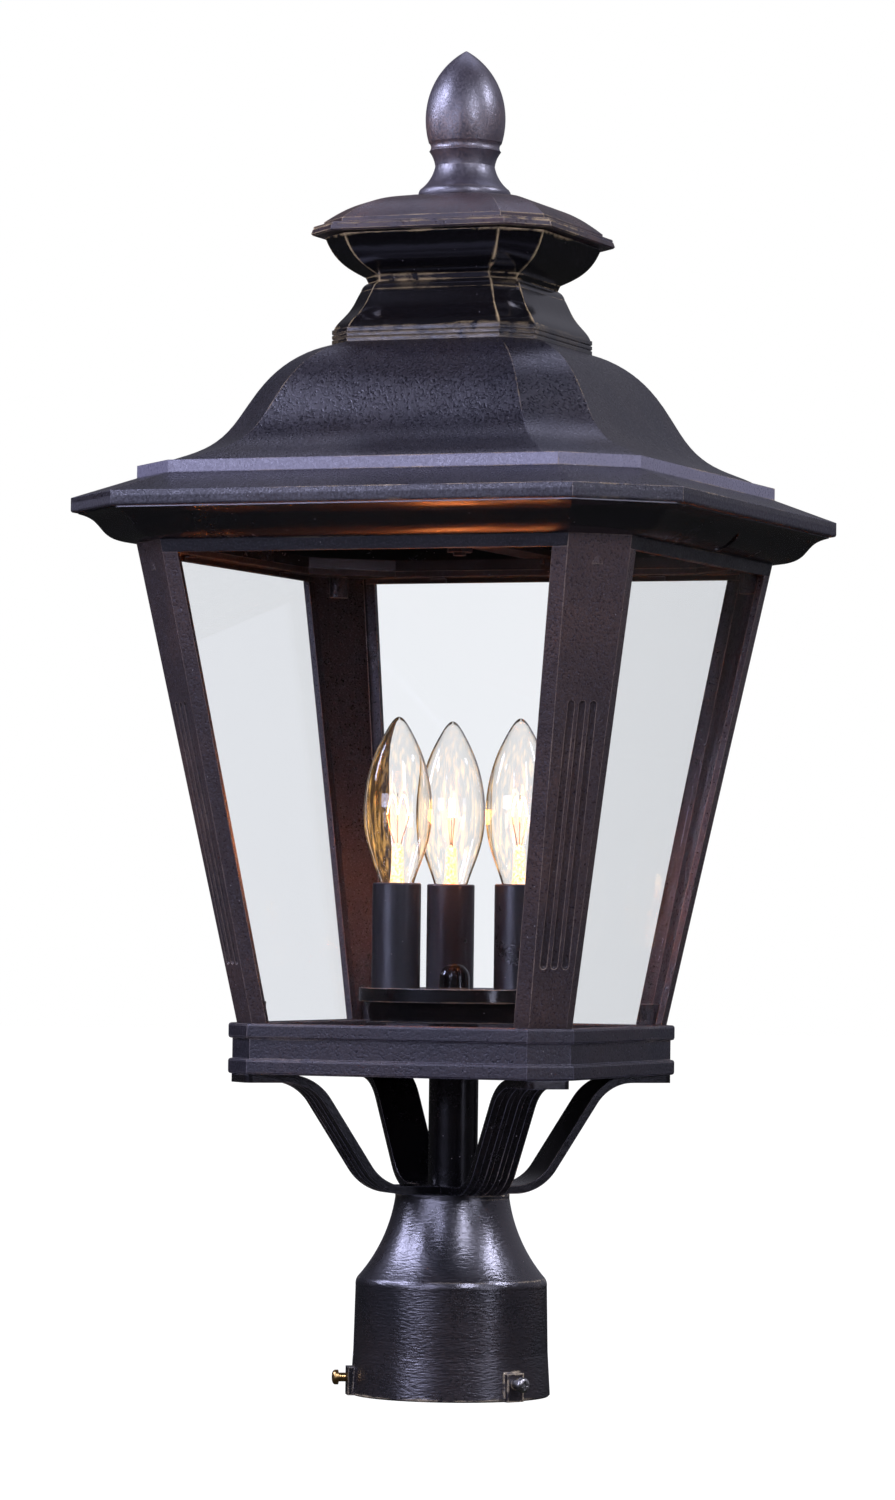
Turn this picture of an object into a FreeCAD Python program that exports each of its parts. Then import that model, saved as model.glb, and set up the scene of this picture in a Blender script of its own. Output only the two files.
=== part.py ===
import FreeCAD, Part
import math
import os

# Post top lantern, in millimetres. The origin is the centre of the fitter's bottom rim and +Z is
# up. The lantern's front is -Y. Every eight-sided piece is a square with cut corners: its "side"
# is half the width across the flats and its "edge" is half the length of one flat.

# ---------------------------------------------------------------- driving dimensions

# post fitter, the cup that slips over a round post
post_diameter = 76.2
post_clearance = 0.4
socket_depth = 50.0
fitter_rim_wall = 7.4
fitter_rim_easing = 0.8
fitter_cup_height = 20.0
fitter_cup_wall = 6.2
fitter_waist_wall = 5.5
fitter_shoulder_wall = 4.7
fitter_shoulder_rise = 3.7
fitter_neck_height = 38.6
fitter_neck_wall = 5.3
fitter_top_plate = 7.0
fitter_top_easing = 2.0
fitter_stop_width = 2.3

# set screws and the lugs that they run in
set_screw_count = 3
set_screw_first_angle = 90.0
set_screw_height = 8.0
set_screw_radius = 2.05
set_screw_head_rim = 1.35
set_screw_head_height = 2.7
set_screw_backed_out = 4.0
recess_depth = 1.3
recess_width = 0.9
recess_length = 4.0
lug_half_width = 4.6
lug_height = 13.0
lug_proud = 2.0
lug_root = 1.0
thread_gap = 0.05

# small screws
screw_radius = 1.6
screw_hole_gap = 0.05
screw_head_radius = 2.9
screw_head_height = 2.0
screw_head_clearance = 0.3
screw_tip_gap = 0.4

# stem pipe and its lock nuts
stem_radius = 11.4
stem_wall = 2.6
stem_fit_gap = 0.05
stem_past_nut = 3.0
lock_nut_wall = 2.1
lock_nut_height = 6.0
lock_nut_to_screw = 1.4

# scroll arms
arm_count = 4
arm_width = 21.0
arm_thickness = 3.8
arm_foot_overhang = 0.7
arm_lower_bend = 23.0
arm_upper_bend = 23.5
arm_climb_angle = 56.0
arm_tip_setback = 0.5
arm_pad_length = 20.4
arm_pad_screw_setback = 18.5
arm_flute_radius = 1.7
arm_flute_depth = 1.1
arm_flute_pitch = 5.6
arm_end_rounding = 3.0

# base pan; a "cut" is how far along a flat the cut corner takes away
base_side = 83.7
base_cut = 16.1
base_height = 23.1
base_wall = 4.0
base_floor = 3.0
base_flange_width = 13.7
base_flange_thickness = 3.5
base_bead_height = 7.0
base_groove_depth = 1.7
base_bead_rounding = 1.1

# leaning cage: corner posts and top rail
cage_setback = 3.8
cage_foot_cut = 13.0
cage_spread = 39.4
cage_head_cut = 21.6
cage_height = 216.7
post_wall = 3.0
post_lip = 7.3
post_boss_radius = 4.5
post_boss_height = 10.0
post_screw_depth = 8.0
flute_count = 3
flute_radius = 1.7
flute_depth = 1.2
flute_pitch = 5.3
flute_from_foot = 28.5
flute_length = 118.0
rail_height = 5.8
rail_flange = 3.0
rail_flange_width = 11.3
rail_corner_flange = 23.3

# glass panes and their clips
glass_thickness = 2.8
glass_side_gap = 1.5
glass_top_gap = 0.3
clip_from_middle = 55.0
clip_width = 8.0
clip_thickness = 0.8
clip_drop = 2.8
clip_foot = 3.0

# cornice
cove_height = 12.6
cove_ledge = 3.5
cornice_rim_height = 4.6
cornice_bottom = 2.6
cornice_wall = 3.5
collar_height = 5.2
collar_wall = 2.5
slot_length = 12.0
slot_width = 6.0
slot_from_rail = 9.7
cornice_screw_inset = 3.8

# roof
brim_overhang = 27.5
brim_cut = 37.3
brim_drop = 4.0
brim_height = 6.7
brim_easing = 1.2
brim_slope_width = 25.3
brim_slope_height = 9.8
crest_cut = 28.2
crest_height = 5.6
crest_ledge = 4.5
dome_foot_cut = 32.8
dome_head_side = 50.5
dome_head_cut = 13.5
dome_height = 58.9
roof_wall = 3.0
skirt_wall = 2.9
skirt_gap = 0.3
roof_seat_width = 7.1
vent_radius = 6.0
vent_circle_radius = 26.0

# crown: neck, bowl and lid
neck_setback = 0.5
neck_cut = 12.8
neck_plinth_height = 6.6
neck_ridge_count = 3
neck_ridge_groove = 0.7
neck_groove_half_width = 0.35
neck_taper = 10.1
neck_flare_cut = 10.0
neck_flare_height = 18.4
neck_curl_in = 2.8
neck_waist_cut = 9.3
neck_curl_height = 4.0
bowl_lip_out = 1.3
bowl_lip_cut = 10.7
bowl_lip_height = 2.5
bowl_flare_width = 16.0
bowl_cut = 15.8
bowl_flare_height = 18.0
bowl_foot_width = 10.0
bowl_foot_setback = 0.6
lid_overhang = 5.2
lid_cut = 16.6
lid_gap = 0.5
lid_fascia_height = 4.2
lid_groove_depth = 0.4
lid_groove_half_width = 0.25
lid_groove_share = 0.68
lid_fascia_lean = 1.2
lid_rim_easing = 0.8
lid_step_in = 4.9
lid_step_cut = 15.3
lid_step_height = 2.3
lid_dome_height = 13.5
lid_head_margin = 1.1
lid_head_cut = 6.5
lid_flange_width = 11.9
lid_flange_cut = 13.5
crown_wall = 2.5

# finial and the rod that it screws on
finial_base_radius = 21.4
finial_base_height = 4.2
finial_base_easing = 0.6
finial_waist_radius = 13.8
finial_waist_height = 10.8
finial_bead_radius = 16.6
finial_bead_height = 7.0
finial_groove_depth = 0.7
finial_groove_height = 2.3
finial_body_step = 0.3
finial_body_height = 1.7
finial_swell = 1.9
finial_swell_height = 11.0
finial_shoulder_height = 12.0
finial_nose_height = 20.0
finial_hole_depth = 40.0
rod_radius = 3.0
rod_hole_gap = 0.4
rod_fit_gap = 0.05
rod_nut_wall = 2.5
rod_nut_height = 4.5
rod_past_nut = 1.5
rod_end_gap = 1.0
bar_width = 18.0
bar_thickness = 3.0
bar_overhang = 0.5

# candle cluster
pan_radius = 43.8
pan_slope_width = 10.6
pan_cone_height = 4.6
pan_rim_height = 5.5
pan_wall = 1.8
pan_above_sill = 6.3
pan_cover_thickness = 1.6
pan_cover_gap = 0.2
pan_cover_edge = 1.6
stem_cap_height = 6.0
nipple_radius = 4.8
nipple_wall = 1.4
nipple_above_pan = 6.0
nipple_in_cap = 5.0
cap_nut_wall = 2.2
cap_nut_height = 11.5
cap_nut_end_gap = 0.5
candle_count = 3
candle_first_angle = 355.4
sleeve_radius = 11.1
sleeve_wall = 1.2
sleeve_height = 48.1
sleeve_easing = 0.5
sleeve_from_rim = 0.4
holder_gap = 0.2
holder_wall = 1.6
holder_stem_radius = 4.8
holder_bottom = 12.0
holder_height = 39.0
holder_collar_height = 4.0
holder_seat_gap = 0.3
bulb_base_radius = 5.95
bulb_base_gap = 0.25
bulb_base_length = 22.0
bulb_base_lift = 1.5
bulb_contact_radius = 2.2
bulb_neck_step = 0.65
bulb_neck_height = 6.0
bulb_radius = 15.9
bulb_swell_height = 34.0
bulb_taper_height = 43.7
bulb_tip_radius = 1.6
bulb_tip_height = 1.2
bulb_glass_wall = 0.7
filament_rise = 38.0
filament_half_span = 4.2
filament_radius = 0.5
lead_radius = 0.35
bulb_stem_radius = 2.6
bulb_stem_flare = 1.4
bulb_stem_height = 22.0

# ---------------------------------------------------------------- sizes worked out from them

bore_radius = post_diameter / 2 + post_clearance
lock_nut_half_flats = stem_radius + lock_nut_wall
arm_foot_screw_circle = lock_nut_half_flats + lock_nut_to_screw + screw_head_radius
fitter_neck_bore = arm_foot_screw_circle + screw_head_radius + screw_head_clearance
fitter_top_radius = fitter_neck_bore + fitter_neck_wall
fitter_shoulder_height = socket_depth + fitter_shoulder_rise
fitter_height = fitter_shoulder_height + fitter_neck_height
set_screw_head_radius = set_screw_radius + set_screw_head_rim

base_edge = base_side - base_cut
base_diagonal = (base_side + base_edge) / math.sqrt(2)
arm_foot_reach = fitter_top_radius + arm_foot_overhang
arm_pad_tip = base_diagonal - arm_tip_setback
arm_pad_start = arm_pad_tip - arm_pad_length
arm_pad_screw_circle = arm_pad_tip - arm_pad_screw_setback
climb = math.radians(arm_climb_angle)
arm_bends = arm_lower_bend + arm_upper_bend
arm_climb = (arm_pad_start - arm_foot_reach - arm_bends * math.sin(climb)) / math.cos(climb)
arm_rise = arm_bends * (1 - math.cos(climb)) + arm_climb * math.sin(climb)

cage_foot_side = base_side - cage_setback
cage_foot_edge = cage_foot_side - cage_foot_cut
cage_head_side = cage_foot_side + cage_spread
cage_head_edge = cage_head_side - cage_head_cut
rail_opening_side = cage_head_side - rail_flange_width
rail_opening_edge = cage_head_side + cage_head_edge - rail_corner_flange * math.sqrt(2) - rail_opening_side

brim_side = cage_head_side + brim_overhang
brim_edge = brim_side - brim_cut
cornice_rim_side = brim_side - skirt_wall - skirt_gap
cornice_rim_edge = brim_edge - (skirt_wall + skirt_gap) * (math.sqrt(2) - 1)
slot_centre_side = cage_head_side + slot_from_rail
cornice_seat_height = cove_height + cornice_rim_height
crest_side = brim_side - brim_slope_width
crest_edge = crest_side - crest_cut
dome_foot_side = crest_side - crest_ledge
dome_foot_edge = dome_foot_side - dome_foot_cut
dome_head_edge = dome_head_side - dome_head_cut
roof_seat_side = cornice_rim_side - roof_seat_width
bar_length = 2 * (rail_opening_side + collar_wall + bar_overhang)

neck_side = dome_head_side - neck_setback
neck_edge = neck_side - neck_cut
neck_flare_side = neck_side - neck_ridge_groove - neck_taper
neck_flare_edge = neck_flare_side - neck_flare_cut
neck_waist_side = neck_flare_side - neck_curl_in
neck_waist_edge = neck_waist_side - neck_waist_cut
bowl_lip_side = neck_waist_side + bowl_lip_out
bowl_lip_edge = bowl_lip_side - bowl_lip_cut
bowl_side = bowl_lip_side + bowl_flare_width
bowl_edge = bowl_side - bowl_cut
lid_side = bowl_side + lid_overhang
lid_edge = lid_side - lid_cut
lid_step_side = lid_side - lid_step_in
lid_step_edge = lid_step_side - lid_step_cut
lid_head_side = finial_base_radius + lid_head_margin
lid_head_edge = lid_head_side - lid_head_cut
lid_flange_side = lid_side - lid_flange_width
lid_flange_edge = lid_flange_side - lid_flange_cut

pan_bottom_radius = pan_radius - pan_slope_width
candle_circle_radius = pan_radius - sleeve_radius - sleeve_from_rim
cap_nut_radius = nipple_radius + cap_nut_wall
holder_bore = bulb_base_radius + bulb_base_gap
holder_body_radius = holder_bore + holder_wall
bulb_neck_radius = bulb_base_radius + bulb_neck_step

z_plate = fitter_height - fitter_top_plate
z_arm_foot = fitter_height + arm_thickness / 2
z_base = z_arm_foot + arm_rise + arm_thickness / 2
z_sill = z_base + base_height
z_head = z_sill + cage_height
z_rail = z_head - rail_height
z_roof_seat = z_head + cornice_seat_height
z_brim = z_roof_seat - brim_drop
z_crest = z_brim + brim_height + brim_slope_height
z_dome = z_crest + crest_height
z_neck = z_dome + dome_height
z_flare = z_neck + neck_plinth_height
z_curl = z_flare + neck_flare_height
z_bowl = z_curl + neck_curl_height
z_bowl_flare = z_bowl + bowl_lip_height
z_bowl_rim = z_bowl_flare + bowl_flare_height
z_lid = z_bowl_rim + lid_gap
z_lid_step = z_lid + lid_fascia_height
z_lid_dome = z_lid_step + lid_step_height
z_finial = z_lid_dome + lid_dome_height
z_pan = z_sill + pan_above_sill
z_pan_rim = z_pan + pan_cone_height
z_pan_top = z_pan_rim + pan_rim_height
z_sleeve_top = z_pan_top + sleeve_height
z_holder = z_pan_top + holder_bottom
z_holder_top = z_pan_top + holder_height
z_bulb = z_holder_top + bulb_base_lift

# curves as shares of the way out and of the way up between their two ends
cove_curve = [(0.0, 0.0), (0.13, 0.035), (0.31, 0.14), (0.46, 0.32), (0.57, 0.54), (0.69, 0.76),
              (0.87, 0.93), (1.0, 1.0)]
dome_curve = [(0.0, 0.0), (0.21, 0.115), (0.385, 0.255), (0.495, 0.44), (0.585, 0.62),
              (0.725, 0.82), (1.0, 1.0)]
flare_curve = [(0.0, 0.0), (0.11, 0.14), (0.42, 0.37), (0.76, 0.69), (1.0, 1.0)]
curl_curve = [(0.0, 0.0), (0.25, 0.5), (1.0, 1.0)]
bowl_curve = [(0.0, 0.0), (0.20, 0.10), (0.45, 0.25), (0.69, 0.46), (0.88, 0.73), (1.0, 1.0)]
lid_curve = [(0.0, 0.0), (0.10, 0.19), (0.27, 0.47), (0.56, 0.78), (1.0, 1.0)]
swell_middle = (0.70, 0.50)
taper_middle = (0.80, 0.50)

UP = FreeCAD.Vector(0, 0, 1)
DOWN = FreeCAD.Vector(0, 0, -1)
CENTRE = FreeCAD.Vector(0, 0, 0)


# ---------------------------------------------------------------- shape helpers

def place(x, y, z):
    return FreeCAD.Vector(x, y, z)


def octagon(side, edge, z):
    """Closed outline of a square with cut corners."""
    corners = [(side, -edge), (side, edge), (edge, side), (-edge, side),
               (-side, edge), (-side, -edge), (-edge, -side), (edge, -side)]
    points = [place(x, y, z) for x, y in corners]
    return Part.makePolygon(points + points[:1])


def tower(levels, smooth=False):
    """Solid through eight-sided levels (side, edge, z), with flat or flowing faces."""
    return Part.makeLoft([octagon(*level) for level in levels], True, not smooth)


def inset(level, wall, rise=0.0):
    """The same eight-sided level with every face moved in by wall."""
    side, edge, z = level
    return side - wall, edge - wall * (math.sqrt(2) - 1), z + rise


def levels_along(start, end, curve):
    """Levels from start to end whose width and height follow a curve of shares."""
    found = []
    for out, up in curve:
        side = start[0] + (end[0] - start[0]) * out
        edge = start[1] + (end[1] - start[1]) * out
        found.append((side, edge, start[2] + (end[2] - start[2]) * up))
    return found


def outline(start, *moves):
    """Flat closed face in the X-Z plane. A pair is a straight run to that point, and two pairs
    are an arc through the first pair to the second."""
    edges = []
    here = start
    for move in moves + (start,):
        arc = isinstance(move[0], tuple)
        there = move[1] if arc else move
        if here == there:
            continue
        ends = [place(here[0], 0, here[1]), place(there[0], 0, there[1])]
        if arc:
            middle = place(move[0][0], 0, move[0][1])
            curve = Part.Arc(ends[0], middle, ends[1])
            ends_on_axis = min(here[0], there[0]) == 0
            edges.append((curve.toBSpline() if ends_on_axis else curve).toShape())
        else:
            edges.append(Part.LineSegment(ends[0], ends[1]).toShape())
        here = there
    return Part.Face(Part.Wire(edges))


def turned(start, *moves):
    """Solid of revolution about +Z from an outline in radius and height."""
    return outline(start, *moves).revolve(CENTRE, UP, 360)


def column(radius, low, high, x=0.0, y=0.0):
    return Part.makeCylinder(radius, high - low, place(x, y, low), UP)


def tube(radius, bore, low, high, x=0.0, y=0.0):
    return column(radius, low, high, x, y).cut(column(bore, low, high, x, y))


def block(low, high):
    size = [b - a for a, b in zip(low, high)]
    return Part.makeBox(size[0], size[1], size[2], place(*low))


def hexagon(half_flats, low, high, x=0.0, y=0.0):
    """Six-sided nut blank."""
    reach = half_flats / math.cos(math.radians(30))
    points = []
    for corner in range(7):
        angle = math.radians(60 * corner)
        points.append(place(x + reach * math.cos(angle), y + reach * math.sin(angle), low))
    return Part.Face(Part.makePolygon(points)).extrude(place(0, 0, high - low))


def nut(half_flats, bore, low, high):
    return hexagon(half_flats, low, high).cut(column(bore, low, high))


def around(shape, angle):
    """A copy turned about +Z."""
    copy = shape.copy()
    copy.rotate(CENTRE, UP, angle)
    return copy


def ring_of(shape, count, first_angle=0.0):
    step = 360.0 / count
    return [around(shape, first_angle + step * index) for index in range(count)]


def joined(shapes):
    whole = shapes[0]
    if len(shapes) > 1:
        whole = whole.fuse(shapes[1:])
    return whole.removeSplitter()


def rounded(shape, radius, wanted):
    """Round the edges that wanted(edge) picks."""
    return shape.makeFillet(radius, [edge for edge in shape.Edges if wanted(edge)])


def flat_edge_at(z, reach=0.0):
    """Pick level edges at height z that lie at least reach from the axis."""
    def wanted(edge):
        box = edge.BoundBox
        level = abs(box.ZMin - z) < 0.01 and abs(box.ZMax - z) < 0.01
        middle = edge.valueAt((edge.FirstParameter + edge.LastParameter) / 2)
        return level and math.hypot(middle.x, middle.y) > reach
    return wanted


def pan_head_screw(x, y, seat, tip, way):
    """Upright screw whose head rests on height seat; way is +1 where the head points up."""
    head_end = seat + way * screw_head_height
    shank = column(screw_radius, min(seat, tip), max(seat, tip), x, y)
    head = column(screw_head_radius, min(seat, head_end), max(seat, head_end), x, y)
    return shank.fuse(head).removeSplitter()


def screw_hole(x, y, low, high):
    return column(screw_radius + screw_hole_gap, low, high, x, y)


def diagonal_spots(distance):
    """The four places at this distance from the axis, square to the cut corners."""
    step = distance / math.sqrt(2)
    return [(step, -step), (step, step), (-step, step), (-step, -step)]


def save(name, shape):
    shape.exportStep(os.path.join("parts", name + ".step"))


# ---------------------------------------------------------------- fitter, set screws and stem

fitter_rim_radius = bore_radius + fitter_rim_wall
lug_face = fitter_rim_radius + lug_proud


def make_fitter():
    shoulder = (bore_radius + fitter_shoulder_wall, fitter_shoulder_height)
    waist = (bore_radius + fitter_waist_wall, socket_depth)
    top = (fitter_top_radius, fitter_height - fitter_top_easing)
    drop = shoulder[0] - top[0]
    climb_height = top[1] - shoulder[1]
    neck_middle = (shoulder[0] - drop * 0.66, shoulder[1] + climb_height * 0.47)
    stem_hole = stem_radius + stem_fit_gap
    stop = (bore_radius - fitter_stop_width, socket_depth)
    inner_top = (fitter_neck_bore, z_plate)
    inner_middle = (neck_middle[0] - fitter_neck_wall, neck_middle[1] - fitter_neck_wall / 2)
    shoulder_middle = (waist[0] - 0.2, (waist[1] + shoulder[1]) / 2 + 0.5)
    body = turned((bore_radius, 0), (fitter_rim_radius - fitter_rim_easing, 0),
                  (fitter_rim_radius, fitter_rim_easing),
                  (bore_radius + fitter_cup_wall, fitter_cup_height), waist,
                  (shoulder_middle, shoulder), (neck_middle, top),
                  (fitter_top_radius, fitter_height), (stem_hole, fitter_height),
                  (stem_hole, z_plate), inner_top, (inner_middle, stop), (bore_radius, socket_depth))
    lug = block((bore_radius + lug_root, -lug_half_width, 0), (lug_face, lug_half_width, lug_height))
    hole = Part.makeCylinder(set_screw_radius + thread_gap, lug_face + 1,
                             place(0, 0, set_screw_height), place(1, 0, 0))
    body = joined([body] + ring_of(lug, set_screw_count, set_screw_first_angle))
    for bore in ring_of(hole, set_screw_count, set_screw_first_angle):
        body = body.cut(bore)
    for x, y in diagonal_spots(arm_foot_screw_circle):
        body = body.cut(screw_hole(x, y, z_plate - 1, fitter_height + 1))
    return body


def make_set_screw():
    """One set screw along +X, backed out of its lug, with a cross recess in its head."""
    under_head = lug_face + set_screw_backed_out
    crown = under_head + set_screw_head_height
    radius = set_screw_head_radius
    profile = outline((0, bore_radius), (set_screw_radius, bore_radius),
                      (set_screw_radius, under_head), (radius, under_head),
                      (radius, under_head + set_screw_head_height * 0.55),
                      ((radius * 0.8, crown - set_screw_head_height * 0.13), (radius * 0.45, crown)),
                      (0, crown))
    screw = profile.revolve(CENTRE, UP, 360)
    cross = block((-recess_length / 2, -recess_width / 2, crown - recess_depth),
                  (recess_length / 2, recess_width / 2, crown + 1))
    for turn in (0, 90):
        screw = screw.cut(around(cross, turn))
    screw.rotate(CENTRE, place(0, 1, 0), 90)
    screw.translate(place(0, 0, set_screw_height))
    return screw


stem_low = z_plate - lock_nut_height - stem_past_nut
stem_high = z_pan - stem_cap_height / 2


def make_stem():
    return tube(stem_radius, stem_radius - stem_wall, stem_low, stem_high)


def lock_nut(low):
    return nut(lock_nut_half_flats, stem_radius + stem_fit_gap, low, low + lock_nut_height)


# ---------------------------------------------------------------- scroll arms

def arm_path():
    """Centre line of an arm's bent part, in the X-Z plane: up-bend, straight climb, down-bend."""
    low_end = place(arm_foot_reach, 0, z_arm_foot)
    low_centre = place(arm_foot_reach, 0, z_arm_foot + arm_lower_bend)

    def low_point(angle):
        return low_centre + place(math.sin(angle), 0, -math.cos(angle)) * arm_lower_bend

    climb_start = low_point(climb)
    climb_end = climb_start + place(math.cos(climb), 0, math.sin(climb)) * arm_climb
    high_centre = climb_end + place(math.sin(climb), 0, -math.cos(climb)) * arm_upper_bend

    def high_point(angle):
        return high_centre + place(-math.sin(angle), 0, math.cos(angle)) * arm_upper_bend

    edges = [Part.Arc(low_end, low_point(climb / 2), climb_start).toShape(),
             Part.LineSegment(climb_start, climb_end).toShape(),
             Part.Arc(climb_end, high_point(climb / 2), high_point(0)).toShape()]
    return Part.Wire(edges), high_point(0)


def arm_section(x, z):
    """Strip section in the Y-Z plane at x: flat above, with three round flutes below."""
    half = arm_width / 2
    low = z - arm_thickness / 2
    high = z + arm_thickness / 2
    depth = arm_flute_depth
    half_flute = math.sqrt(arm_flute_radius ** 2 - (arm_flute_radius - depth) ** 2)
    edges = []
    here = place(x, -half, low)
    for flute in (-1, 0, 1):
        middle = flute * arm_flute_pitch
        start = place(x, middle - half_flute, low)
        end = place(x, middle + half_flute, low)
        edges.append(Part.LineSegment(here, start).toShape())
        edges.append(Part.Arc(start, place(x, middle, low + depth), end).toShape())
        here = end
    corners = [here, place(x, half, low), place(x, half, high), place(x, -half, high),
               place(x, -half, low)]
    for first, second in zip(corners, corners[1:]):
        edges.append(Part.LineSegment(first, second).toShape())
    return Part.Wire(edges)


def make_arm():
    """One scroll arm along +X, from its foot on the fitter to its pad under the base."""
    path, high_end = arm_path()
    half = arm_width / 2
    low = z_arm_foot - arm_thickness / 2
    sweep = path.makePipeShell([arm_section(arm_foot_reach, z_arm_foot)], True, False)
    corners = [(0, 0), (half, -half), (arm_foot_reach, -half), (arm_foot_reach, half), (half, half),
               (0, 0)]
    foot = Part.Face(Part.makePolygon([place(x, y, low) for x, y in corners]))
    foot = foot.extrude(place(0, 0, arm_thickness))
    pad = block((high_end.x, -half, z_base - arm_thickness), (arm_pad_tip, half, z_base))
    pad = rounded(pad, arm_end_rounding, lambda edge: edge.BoundBox.XMin > arm_pad_tip - 0.01
                  and edge.BoundBox.ZLength > arm_thickness - 0.01)
    arm = joined([sweep, foot, pad])
    arm = arm.cut(column(stem_radius + stem_fit_gap, low - 1, low + arm_thickness + 1))
    arm = arm.cut(screw_hole(arm_foot_screw_circle, 0, low - 1, low + arm_thickness + 1))
    return arm.cut(screw_hole(arm_pad_screw_circle, 0, z_base - arm_thickness - 1, z_base + 1))


# ---------------------------------------------------------------- base pan

def post_boss_distance(z, wall):
    """Distance from the axis of a screw boss that sits inside a corner post at height z."""
    side, edge, z = cage_level(z)
    return (side + edge) / math.sqrt(2) - wall - post_boss_radius


def bead_levels(low, high):
    """Levels of one bead of the base pan, with its two outer corners eased."""
    eased = []
    for move_in, rise in ((1.0, 0.0), (0.3, 0.3), (0.0, 1.0)):
        eased.append((move_in * base_bead_rounding, rise * base_bead_rounding))
    levels = [inset((base_side, base_edge, low), move_in, rise) for move_in, rise in eased]
    return levels + [inset((base_side, base_edge, high), move_in, -rise) for move_in, rise in eased[::-1]]


def make_base_pan():
    groove_low = z_base + base_bead_height
    groove_high = z_sill - base_bead_height
    groove = [inset((base_side, base_edge, z), base_groove_depth) for z in (groove_low, groove_high)]
    pan = joined([tower(bead_levels(z_base, groove_low)), tower(groove),
                  tower(bead_levels(groove_high, z_sill))])
    under_flange = z_sill - base_flange_thickness
    room = tower([inset((base_side, base_edge, z_base + base_floor), base_wall),
                  inset((base_side, base_edge, under_flange), base_wall)])
    mouth = tower([inset((base_side, base_edge, under_flange), base_flange_width),
                   inset((base_side, base_edge, z_sill + 1), base_flange_width)])
    pan = pan.cut(room).cut(mouth)
    pan = pan.cut(column(stem_radius + stem_fit_gap, z_base - 1, z_base + base_floor + 1))
    for x, y in diagonal_spots(arm_pad_screw_circle):
        pan = pan.cut(screw_hole(x, y, z_base - 1, z_base + base_floor + 1))
    for x, y in diagonal_spots(post_boss_distance(z_sill, post_wall)):
        pan = pan.cut(screw_hole(x, y, under_flange - 1, z_sill + 1))
    return pan


# ---------------------------------------------------------------- cage: posts, rail and glass

def cage_level(z):
    """Side and edge of the leaning cage at height z."""
    share = (z - z_sill) / cage_height
    side = cage_foot_side + (cage_head_side - cage_foot_side) * share
    edge = cage_foot_edge + (cage_head_edge - cage_foot_edge) * share
    return side, edge, z


def corner_outline(level, lip):
    """Section of the corner post between +X and -Y: a plate across the corner with two lips."""
    side, edge, z = level
    inner_side, inner_edge, z = inset(level, post_wall)
    corners = [(edge - lip, -side), (edge, -side), (side, -edge), (side, lip - edge),
               (inner_side, lip - edge), (inner_side, -inner_edge),
               (inner_edge, -inner_side), (edge - lip, -inner_side)]
    if lip == 0:
        corners = [corners[1], corners[2], corners[5], corners[6]]
    points = [place(x, y, z) for x, y in corners]
    return Part.makePolygon(points + points[:1])


def flute_cutters():
    """Round-ended flutes that follow the leaning outer face of the +X -Y corner post."""
    foot_side, foot_edge, foot_z = cage_level(z_sill)
    head_side, head_edge, head_z = cage_level(z_head)
    foot = place((foot_side + foot_edge) / 2, -(foot_side + foot_edge) / 2, foot_z)
    head = place((head_side + head_edge) / 2, -(head_side + head_edge) / 2, head_z)
    rise = (head - foot).normalize()
    across = place(1, 1, 0).normalize()
    outward = rise.cross(across) * -1
    if outward.x < 0:
        outward = outward * -1
    cutters = []
    for index in range(flute_count):
        sideways = (index - (flute_count - 1) / 2) * flute_pitch
        start = foot + rise * flute_from_foot + across * sideways
        start = start + outward * (flute_radius - flute_depth)
        end = start + rise * flute_length
        cutters.append(Part.makeCylinder(flute_radius, flute_length, start, rise))
        cutters.append(Part.makeSphere(flute_radius, start))
        cutters.append(Part.makeSphere(flute_radius, end))
    return cutters


def make_corner_post():
    """The corner post between +X and -Y, with screw bosses at its foot and head."""
    lipped = Part.makeLoft([corner_outline(cage_level(z_sill), post_lip),
                            corner_outline(cage_level(z_rail), post_lip)], True, True)
    plate = Part.makeLoft([corner_outline(cage_level(z_rail), 0),
                           corner_outline(cage_level(z_head), 0)], True, True)
    foot_x, foot_y = diagonal_spots(post_boss_distance(z_sill, post_wall / 2))[0]
    head_z = z_head - rail_flange
    head_x, head_y = diagonal_spots(post_boss_distance(head_z, post_wall / 2))[0]
    foot = column(post_boss_radius, z_sill, z_sill + post_boss_height, foot_x, foot_y)
    head = column(post_boss_radius, head_z - post_boss_height, head_z, head_x, head_y)
    post = joined([lipped, plate, foot, head])
    for cutter in flute_cutters():
        post = post.cut(cutter)
    hole_x, hole_y = diagonal_spots(post_boss_distance(z_sill, post_wall))[0]
    post = post.cut(screw_hole(hole_x, hole_y, z_sill - 1, z_sill + post_screw_depth + screw_tip_gap))
    hole_x, hole_y = diagonal_spots(post_boss_distance(head_z, post_wall))[0]
    return post.cut(screw_hole(hole_x, hole_y, head_z - post_screw_depth - screw_tip_gap, head_z + 1))


def make_top_rail(posts):
    """Leaning band between the posts with a flange that the cornice rests on."""
    band = tower([cage_level(z_rail), cage_level(z_head)])
    under_flange = z_head - rail_flange
    room = tower([inset(cage_level(z_rail - 1), post_wall), inset(cage_level(under_flange), post_wall)])
    opening = tower([(rail_opening_side, rail_opening_edge, z_rail - 1),
                     (rail_opening_side, rail_opening_edge, z_head + 1)])
    rail = band.cut(room).cut(opening)
    for post in posts:
        rail = rail.cut(post)
    for x, y in diagonal_spots(post_boss_distance(under_flange, post_wall)):
        rail = rail.cut(screw_hole(x, y, under_flange - 1, z_head + 1))
        rail = rail.cut(countersink(x, y, z_head, screw_hole_gap))
    for x, y in side_spots(cornice_screw_reach):
        rail = rail.cut(screw_hole(x, y, under_flange - 1, z_head + 1))
    return rail


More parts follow.
